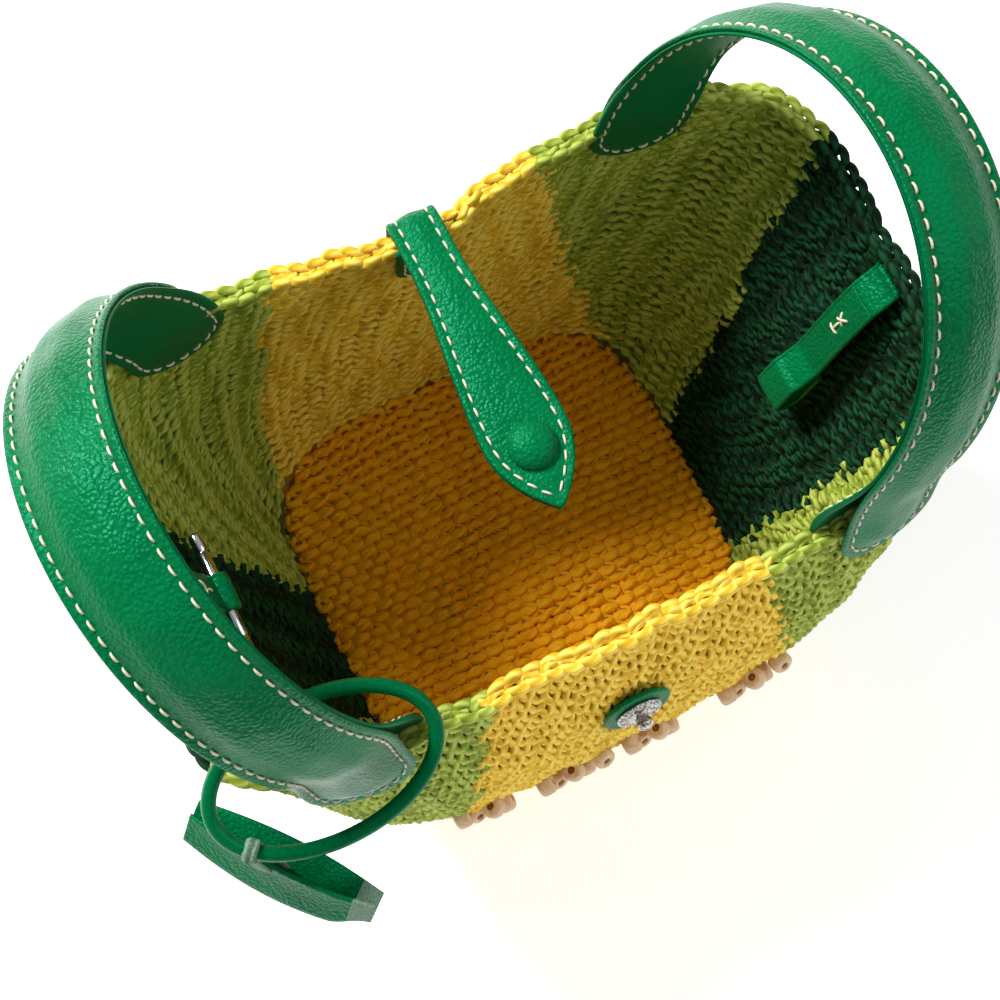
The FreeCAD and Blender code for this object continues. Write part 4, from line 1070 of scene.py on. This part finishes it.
def front_snap():
    """Leather washer, knurled antique stud and, inside the bag, the backing disc."""
    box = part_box("front_snap_washer")
    middle_z = 0.5 * (box[0][2] + box[1][2])
    angle = angle_at_x(np.array([0.0]), np.array([middle_z]), -1)
    seat = wall_point(angle, np.array([middle_z]))[0]
    out = wall_basis(angle, np.array([middle_z]))[2][0]
    place = frame_at(seat, out)
    washer = [(0.0021, 0.0004), (0.0110, 0.0004), (0.0115, 0.0008), (0.0115, 0.0016),
              (0.0111, 0.0020), (0.0100, 0.0021), (0.0092, 0.0018), (0.0084, 0.0021), (0.0021, 0.0021)]
    made = lathe("front_snap_washer_leather", washer + [washer[0]], PEBBLED, place, slot="pebbled_leather")
    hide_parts("front_snap_washer")

    def knurl(radius, height, turn):
        face = height > 0.0024
        rim = np.exp(-((radius - 0.0066) / 0.0011) ** 2) * face * np.cos(26 * turn)[None]
        petals = np.exp(-((radius - 0.0045) / 0.0009) ** 2) * face * np.cos(12 * turn)[None]
        return radius * (1 + 0.02 * rim), height + 0.00028 * rim + 0.0003 * petals

    stud = [(0, 0.0021), (0.0070, 0.0021), (0.0076, 0.0024), (0.0077, 0.0028), (0.0074, 0.0033),
            (0.0069, 0.0036), (0.0063, 0.0036), (0.0058, 0.0033), (0.0053, 0.0032), (0.0048, 0.0034),
            (0.0043, 0.0036), (0.0038, 0.0034), (0.0033, 0.0033), (0.0026, 0.0034), (0.0022, 0.0040),
            (0.0021, 0.0048), (0.0024, 0.0056), (0.0028, 0.0064), (0.0028, 0.0072), (0.0024, 0.0079),
            (0.0016, 0.0084), (0.0006, 0.0086), (0, 0.0086)]
    made = lathe("front_snap_stud_metal", stud, ANTIQUE, place, steps=156, ripple=knurl,
                 slot="antique_metal")
    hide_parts("front_snap_stud")
    low = -WALL_THICK - 0.0003
    backing = [(0, low), (0.0088, low), (0.0092, low - 0.0004), (0.0092, low - 0.0014),
               (0.0086, low - 0.0018), (0.0034, low - 0.0019), (0.0030, low - 0.0025), (0, low - 0.0027)]
    made = lathe("front_snap_backing_leather", backing[::-1], LINING, place, slot="lining_leather")
    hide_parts("front_snap_backing")


def closure_inner_tab():
    """The leaf that holds the closing strap to the inside of the back wall."""
    levels = np.linspace(WALL_HEIGHT - CLOSURE_DROP, WALL_HEIGHT - 0.0005, 30)
    angle = np.full(len(levels), math.pi / 2)
    middle = wall_point(angle, levels, -WALL_THICK - TAB_LEATHER / 2)
    strap = Strap(middle, np.tile((-1.0, 0.0, 0.0), (len(levels), 1)))
    stations = np.concatenate([NECK_START, np.linspace(NECK_HALF, strap.length, 16)[1:]])
    low = np.clip(1 - stations / NECK_HALF, 0, 1)
    widths = np.maximum(NECK_HALF * np.sqrt(1 - low ** 2), 0.0003)
    columns = column_places(NECK_HALF, 0.0026)
    across = columns[None] / columns.max() * widths[:, None]
    insets = np.clip(NECK_HALF - np.hypot(low[:, None] * NECK_HALF, across), 0, None)
    made = strap_piece("closing_strap_inner_tab", strap, stations, widths, insets,
                       0.0010 + 0 * insets, -0.0009 + 0 * insets, LINING, columns, slot="lining_leather")
    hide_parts("closure_inner_tab")
    radius = NECK_HALF - 0.0026
    turn = np.linspace(-math.pi / 2, math.pi / 2, 20)
    side = np.linspace(NECK_HALF, strap.length - 0.002, 30)
    along = np.concatenate([side[::-1], NECK_HALF - radius * np.cos(turn), side])
    across = np.concatenate([np.full(30, -radius), radius * np.sin(turn), np.full(30, radius)])
    points, out = strap.at(along, across, np.full(len(along), -0.0009))
    stitching("closing_strap_inner_tab_stitching", [(points, -out)], body="bag", length=0.0030,
              pitch=0.0043)


# ---- straps inside the ends

CINCH_HALF, CINCH_LEATHER = 0.0065, 0.0020
CINCH_X, CINCH_Z, CINCH_SLOPE = 0.115, 0.142, math.radians(20)
TOGGLE_Y, TOGGLE_DROP, BAR_RADIUS, BAR_HALF = 0.005, 0.044, 0.0021, 0.022
LOOP_Y, LOOP_DROP, LOOP_LENGTH, LOOP_HALF_GAP = -0.009, 0.044, 0.020, 0.00375


def cinch_point(side, middle_y, drop, inward):
    """A place in an inner strap's own plane: down from its bending line, and towards the bag's middle."""
    down = np.array((-side * math.sin(CINCH_SLOPE), 0.0, -math.cos(CINCH_SLOPE)))
    into = np.array((-side * math.cos(CINCH_SLOPE), 0.0, math.sin(CINCH_SLOPE)))
    start = np.array((side * CINCH_X, middle_y, CINCH_Z))
    return start + np.multiply.outer(drop, down) + np.multiply.outer(inward, into)


def flat_strip(name, middle, body, half=CINCH_HALF, thick=CINCH_LEATHER, material=PEBBLED,
               slot="pebbled_leather", across=(0.0, 1.0, 0.0), margin=0.0012):
    """A plain strip of leather along a line, a little crowned, with rounded edges."""
    strap = Strap(middle, np.tile(across, (len(middle), 1)))
    stations = np.linspace(0, strap.length, max(12, int(strap.length / 0.0009)))
    widths = np.full(len(stations), half)
    columns = column_places(half, margin)
    insets = widths[:, None] * (1 - np.abs(columns[None]) / columns.max())
    crown = 0.0002 * smooth(insets / (0.6 * half))
    made = strap_piece(name, strap, stations, widths, insets, thick / 2 + crown, -thick / 2 - crown,
                       material, columns, body=body, slot=slot)
    return strap, made


def cross_stitches(name, strap, along, size, body, lift, legs):
    """Thick thread sewn in a plain figure: each leg is a short straight stitch on the strap's face."""
    gather = Quads()
    share = np.linspace(0, 1, 6)
    rise = 0.0004 * (1 - 2.2 * np.abs(np.linspace(-1, 1, 6)) ** 4)
    for x0, y0, x1, y1 in legs:
        at_along = along + size * (y0 + (y1 - y0) * share)
        points, out = strap.at(at_along, size * (x0 + (x1 - x0) * share), np.full(6, lift))
        out = out * np.sign(lift)
        add_tube(gather, points + out * rise[:, None], out, 0.00045, 7)
    gather.build(name, THREAD, body=body, slot="pebbled_leather")


CROSS = ((-0.5, -1, 0.5, 0), (0.5, -1, -0.5, 0), (0, 0, 0, 1.1), (-0.6, 1.1, 0.6, 1.1))
FORK = ((-0.7, -0.8, 0, 0), (0.7, -0.8, 0, 0), (0, 0, 0, 1.2))


def inner_straps():
    """The toggle with its bar on the left, the open loop on the right, each sewn to the rim."""
    turn = np.linspace(-0.5 * math.pi, 1.28 * math.pi, 34)
    ring = BAR_RADIUS + 0.0001 + CINCH_LEATHER / 2
    plane = np.linspace(0, TOGGLE_DROP - 1.6 * ring, 26)
    wrap = turn[8:] - 0.25 * math.pi - math.pi / 2 + 0.3
    drop = np.concatenate([plane, TOGGLE_DROP - ring * np.cos(wrap)])
    inward = np.concatenate([0.0008 * np.sin(plane * 90), ring * np.sin(wrap)])
    middle = cinch_point(-1, TOGGLE_Y, drop, inward)
    strap, made = flat_strip("toggle_strap_leather", middle, "toggle_strap")
    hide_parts("toggle_strap")
    side = np.sign(strap.out[5][0]) or 1.0
    cross_stitches("toggle_strap_cross_stitch", strap, 0.029, 0.0042, "toggle_strap",
                   side * (CINCH_LEATHER / 2 + 0.0002), FORK)

    bar_middle = cinch_point(-1, TOGGLE_Y, np.array(TOGGLE_DROP), np.array(0.0))
    place = frame_at(bar_middle, (0, 1, 0))
    half = [(BAR_RADIUS, 0.0), (BAR_RADIUS, 0.0145), (BAR_RADIUS - 0.0003, 0.0149),
            (BAR_RADIUS - 0.0003, 0.0154), (BAR_RADIUS, 0.0158), (BAR_RADIUS, BAR_HALF - 0.0010),
            (BAR_RADIUS - 0.0002, BAR_HALF - 0.0004), (BAR_RADIUS - 0.0007, BAR_HALF), (0, BAR_HALF)]
    profile = [(radius, -height) for radius, height in half[::-1]] + half[1:]
    made = lathe("toggle_bar_metal", profile, POLISHED, place, body="toggle_bar", slot="polished_metal")
    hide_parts("toggle_bar")

    ring = LOOP_HALF_GAP + CINCH_LEATHER / 2
    top = LOOP_DROP + ring - CINCH_LEATHER / 2
    low = top + LOOP_LENGTH - 2 * LOOP_HALF_GAP
    plane = np.linspace(0, LOOP_DROP - 0.004, 26)
    near = np.linspace(top, low, 12)
    round_low = np.linspace(0, math.pi, 18)[1:-1]
    round_top = np.linspace(0, 0.62 * math.pi, 12)[1:]
    drop = np.concatenate([plane, near, low + ring * np.sin(round_low), near[::-1],
                           top - ring * np.sin(round_top)])
    inward = np.concatenate([0.0007 * np.sin(plane * 90), ring * smooth((near - top) / 0.003 + 0.6),
                             ring * np.cos(round_low), np.full(12, -ring), -ring * np.cos(round_top)])
    middle = cinch_point(1, LOOP_Y, drop, inward)
    strap, made = flat_strip("cinch_loop_leather", middle, "cinch_loop")
    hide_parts("cinch_loop_strap")
    side = -np.sign(strap.out[5][0]) or 1.0
    cross_stitches("cinch_loop_cross_stitch", strap, 0.014, 0.0036, "cinch_loop",
                   side * (CINCH_LEATHER / 2 + 0.0002), CROSS)

    for label, end, middle_y in (("toggle_strap_tab", -1, TOGGLE_Y), ("cinch_loop_tab", 1, LOOP_Y)):
        levels = np.linspace(WALL_HEIGHT - 0.0003, CINCH_Z, 14)
        angle = np.array([float(angle_at_y(middle_y, level, end)) for level in levels])
        middle = wall_point(angle, levels, -WALL_THICK - 0.0012)
        turn = smooth((WALL_HEIGHT - 0.002 - levels) / (WALL_HEIGHT - 0.002 - CINCH_Z))[:, None]
        hinge = cinch_point(end, middle_y, np.array(0.0006), np.array(0.0))
        middle = middle * (1 - turn) + (middle + hinge - middle[-1]) * turn
        _, made = flat_strip(label + "_leather", middle, "bag")
        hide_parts(label)


# ---- hanging ring, thong and tag

RING_LONG, RING_SHORT, RING_CORD = 0.034, 0.0215, 0.0024
RING_MIDDLE = np.array((-0.095, -0.069, 0.1605))
RING_TILT, RING_HANG = math.radians(30), math.radians(215)
TAG_TURN, TAG_ROLL = math.radians(-53), math.radians(45)
TAG_BELOW, TAG_SLIT = 0.021, 0.007
TAG_LENGTH, TAG_HALF, TAG_TOP, TAG_THICK, TAG_OPEN = 0.060, 0.0088, 0.0075, 0.0016, 0.0058
TAG_SUEDE, TAG_SHORT_LEAF = 0.007, 0.86
LACE_THICK, LACE_HALF, LACE_LEAN = 0.0011, 0.0021, 0.006
RING_SIDES = 20
UP = np.array((0.0, 0.0, 1.0))


def hanging_ring():
    """A leather cord closed to a ring; returns where the tag hangs from it and its direction there."""
    turn = np.linspace(0, 2 * math.pi, 161)[:-1]
    flat = np.stack([RING_LONG * np.cos(turn), RING_SHORT * np.sin(turn), 0 * turn], -1)
    tilt = np.array(Matrix.Rotation(RING_TILT, 3, "X"))
    line = flat @ tilt.T + RING_MIDDLE
    rings = sweep_rings(line, np.tile(tilt[:, 2], (len(line), 1)), RING_CORD, RING_SIDES, closed=True)
    around = 2 * math.pi * np.arange(RING_SIDES) / RING_SIDES
    seam = 1 - 0.16 * np.exp(-((np.abs(around - math.pi) - 0.5 * math.pi) / 0.3) ** 2)
    rings = line[:, None] + (rings - line[:, None]) * seam[None, :, None]
    gather = Quads()
    gather.add(rings.reshape(-1, 3), *tube_quads(len(line), RING_SIDES, closed=True))
    made = gather.build("hanging_ring_cord", CORD, body="hanging_ring", slot="pebbled_leather")
    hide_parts("hanging_ring")
    hang = np.array((RING_LONG * math.cos(RING_HANG), RING_SHORT * math.sin(RING_HANG), 0.0))
    run = np.array((-RING_LONG * math.sin(RING_HANG), RING_SHORT * math.cos(RING_HANG), 0.0))
    return tilt @ hang + RING_MIDDLE, unit(run)


def tag_lace(low, run, foot):
    """A flat lace round the ring's cord, whose two legs go down into the fold of the tag."""
    beside = np.cross(UP, run)
    over = RING_CORD + LACE_THICK / 2
    turn = np.linspace(-0.30 * math.pi, 1.30 * math.pi, 34)
    arch = low + over * (np.cos(turn)[:, None] * beside + np.sin(turn)[:, None] * UP)
    share = np.linspace(0, 1, 14)[1:, None]
    legs = []
    for end, side in ((arch[0], 1), (arch[-1], -1)):
        target = foot + side * (0.0010 * beside + 0.0016 * run)
        leg = end * (1 - share) + target * share
        legs.append(leg + side * 0.0007 * np.sin(math.pi * share) * beside)
    line = np.concatenate([legs[0][::-1], arch, legs[1]])
    _, made = flat_strip("tag_thong_lace", line, "tag", half=LACE_HALF, thick=LACE_THICK,
                         material=RAW_EDGE, slot="thong_leather", across=tuple(run), margin=0.0006)
    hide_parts("tag_thong")


def folded_tag(hole):
    """One strip of leather folded along its length, open above; its far end is bare suede."""
    ahead = np.array((math.cos(TAG_TURN), math.sin(TAG_TURN), 0.0))
    beside = np.cross(UP, ahead)
    rise = beside * math.cos(TAG_ROLL) + UP * math.sin(TAG_ROLL)
    normal = np.cross(ahead, rise)
    share = np.linspace(0, 1, 90)[:, None]
    fold = np.linspace(-1, TAG_SHORT_LEAF, 70)[None]
    deep = 2 * TAG_HALF * (0.42 + 0.58 * np.sin(math.pi * (0.16 + 0.70 * share)) ** 0.9)
    deep = deep * (1 - 0.30 * smooth((share - 0.80) / 0.2))
    soft = 0.08
    climb = (np.hypot(fold, soft) - soft) / (math.hypot(1, soft) - soft)
    up = TAG_TOP - deep * (1 - climb)
    gape = TAG_OPEN * np.sin(math.pi * (0.10 + 0.78 * share))
    side = 0.55 * TAG_THICK * np.tanh(fold / 0.10) + gape * fold * np.abs(fold)
    away_up, away_side = np.gradient(side, axis=1), -np.gradient(up + 0 * share, axis=1)
    size = np.hypot(away_up, away_side)
    rim = np.clip(np.minimum(fold + 1, TAG_SHORT_LEAF - fold) / 0.05, 0, 1)
    half = 0.5 * TAG_THICK * (0.25 + 0.75 * np.sqrt(rim * (2 - rim)))
    along = TAG_SLIT + TAG_LENGTH * (share - 0.5) + 0 * fold

    def face(out):
        return (hole + along[..., None] * ahead
                + (up + out * half * away_up / size)[..., None] * rise
                + (side + out * half * away_side / size)[..., None] * normal)

    points, quads = block(face(-1), face(1))
    made = piece("tag_folded_leather", points, quads, PEBBLED, body="tag", slot="pebbled_leather")
    made.data.materials.append(RAW_EDGE)
    centres = np.empty(3 * len(quads), np.float32)
    made.data.polygons.foreach_get("center", centres)
    reach = (centres.reshape(-1, 3) - hole) @ ahead
    bare = (reach > TAG_SLIT + TAG_LENGTH / 2 - TAG_SUEDE).astype(np.int32)
    made.data.polygons.foreach_set("material_index", bare)
    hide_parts("tag_front_leaf", "tag_back_leaf")


def ring_and_tag():
    low, run = hanging_ring()
    hole = low - TAG_BELOW * UP
    tag_lace(low, run, hole + LACE_LEAN * np.array((math.cos(TAG_TURN), math.sin(TAG_TURN), 0.0)))
    folded_tag(hole)


# ---- wooden beads

BEAD_RADIUS, BEAD_HOLE, BEAD_LENGTH = 0.0038, 0.0013, 0.0056
BEAD_LIP, BEAD_SHOULDER, BEAD_SIDES = 0.0004, 0.0016, 28
BEAD_PITCH, BEAD_STAGGER, BEAD_Z, BEAD_PROUD = 0.0052, 0.0044, 0.044, 0.35
BEAD_CLUSTERS = ((-0.053, 4), (-0.021, 5), (0.008, 4), (0.047, 5))
BEAD_DIRECTIONS = ((1, 0, 0.3), (0.2, -1, 0.5), (-0.4, 0.2, 1))


def beads():
    gather, ties = Quads(), Quads()
    for x, i in ((middle + BEAD_PITCH * (i - (count - 1) / 2), i)
                 for middle, count in BEAD_CLUSTERS for i in range(count)):
        z = BEAD_Z + BEAD_STAGGER * ((-1) ** i + 0.4 * math.sin(1000 * x))
        angle = angle_at_x(np.array(x), np.array(z), -1)
        y = float(wall_point(angle, np.array(z))[1]) - BEAD_PROUD * BEAD_RADIUS
        place = frame_at((x, y, z), BEAD_DIRECTIONS[i % len(BEAD_DIRECTIONS)], (0.3, 1, 0.2))
        swell = RANDOM.uniform(0.94, 1.04)
        half, radius = BEAD_LENGTH / 2, BEAD_RADIUS * swell
        lip, shoulder = BEAD_HOLE + BEAD_LIP, radius - BEAD_SHOULDER
        profile = np.array([*arc((lip, -half + BEAD_LIP), BEAD_LIP, 180, 270, 4),
                            *arc((shoulder, -half + BEAD_SHOULDER), BEAD_SHOULDER, -90, -20, 6),
                            (radius, 0), *arc((shoulder, half - BEAD_SHOULDER), BEAD_SHOULDER, 20, 90, 6),
                            *arc((lip, half - BEAD_LIP), BEAD_LIP, 90, 180, 4)])
        turn = 2 * math.pi * np.arange(BEAD_SIDES) / BEAD_SIDES
        radius_at = profile[:, 0][:, None] * (1 + 0.015 * np.cos(2 * turn + i))
        points = np.stack([radius_at * np.cos(turn), radius_at * np.sin(turn),
                           profile[:, 1][:, None] * np.ones(BEAD_SIDES)], -1)
        quads = tube_quads(len(profile), BEAD_SIDES, closed=True)[0][:, [0, 3, 2, 1]]
        points = points.reshape(-1, 3) @ np.array(place.to_3x3()).T + np.array(place.translation)
        gather.add(points, quads)
        axis = np.array(place.to_3x3()) @ UP
        tie = np.array(place.translation) + np.linspace(-0.36, 0.36, 5)[:, None] * BEAD_LENGTH * axis
        add_tube(ties, tie, np.tile(np.cross(axis, (0.3, 0.1, 0.9)), (5, 1)), 0.96 * BEAD_HOLE, 10)
    # The yarn through each bead is coloured with the dark painted-shade sheet material: painted shade
    # inside the bead holes.
    ties.build("wooden_bead_ties", PAINTED_SHADE_SHEETS["yellow"], slot="yellow_yarn")
    made = gather.build("wooden_bead_band", WOOD, body="bag", slot="bead_wood")
    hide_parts("wooden_beads")


# ---- the whole bag

painted_shade_sheet_of_wall()
painted_shade_sheet_of_base()
crochet_wall()
crochet_base()
for side_name, side in (("left", -1), ("right", 1)):
    handle(side_name, side)
snap_seat, snap_out = closing_strap()
strap_snap(snap_seat, snap_out)
closure_inner_tab()
front_snap()
inner_straps()
ring_and_tag()
beads()


# ---- floor, light and camera

FLOOR_HALF, FLOOR_LEVEL = 6.0, -0.0002
WORLD_STRENGTH, KEY_POWER, FILL_POWER, LOOK_AT = 0.40, 38, 5, (0, 0, 0.1)


def plain_floor():
    made, tree, shader, add = material("plain_floor", (0.92, 0.92, 0.92), 0.9, Emission_Strength=0.5)
    shader.inputs["Emission Color"].default_value = (1, 1, 1, 1)
    noise = add("ShaderNodeTexNoise", {"Vector": place_of(add), "Scale": 40.0})
    shade = ramp(add, noise.outputs["Fac"], [(0.0, (0.915, 0.915, 0.915)), (1.0, (0.925, 0.925, 0.925))])
    tree.links.new(shade, shader.inputs["Base Color"])
    half, level = FLOOR_HALF, FLOOR_LEVEL
    points = np.array([(-half, -half, level), (half, -half, level), (half, half, level),
                       (-half, half, level)])
    floor = piece("floor", points, np.array([[0, 1, 2, 3]]), made, body=None)


def area_light(name, place, target, size, power):
    data = bpy.data.lights.new(name, "AREA")
    data.shape = "DISK"
    data.size, data.energy = size, power
    light = bpy.data.objects.new(name, data)
    light.location = place
    light.rotation_euler = (Vector(target) - Vector(place)).to_track_quat("-Z", "Y").to_euler()
    bpy.context.scene.collection.objects.link(light)


def camera(target, azimuth, elevation, roll, distance, lens):
    data = bpy.data.cameras.new("camera")
    data.lens, data.sensor_width = lens, 36.0
    data.clip_start = 0.02
    made = bpy.data.objects.new("camera", data)
    back = Vector((math.sin(azimuth) * math.cos(elevation), -math.cos(azimuth) * math.cos(elevation),
                   math.sin(elevation)))
    right = (-back).cross(Vector((0, 0, 1))).normalized()
    up = back.cross(right)
    rolled = right * math.cos(roll) + up * math.sin(roll)
    turned = back.cross(rolled)
    turn = Matrix((rolled, turned, back)).transposed().to_4x4()
    made.matrix_world = Matrix.Translation(Vector(target) + back * distance) @ turn
    bpy.context.scene.collection.objects.link(made)
    bpy.context.scene.camera = made


plain_floor()
world = bpy.data.worlds.new("studio")
world.use_nodes = True
world.node_tree.nodes["Background"].inputs["Color"].default_value = (1, 1, 1, 1)
world.node_tree.nodes["Background"].inputs["Strength"].default_value = WORLD_STRENGTH
bpy.context.scene.world = world
area_light("key", (-0.5, 0.9, 1.3), LOOK_AT, 0.5, KEY_POWER)
area_light("fill", (0.9, -0.7, 1.1), LOOK_AT, 1.0, FILL_POWER)
bpy.context.scene.view_settings.view_transform = "Standard"
camera((-0.008, -0.006, 0.100), math.radians(-27.5), math.radians(74.5), math.radians(1.0), 0.70, 79.2)
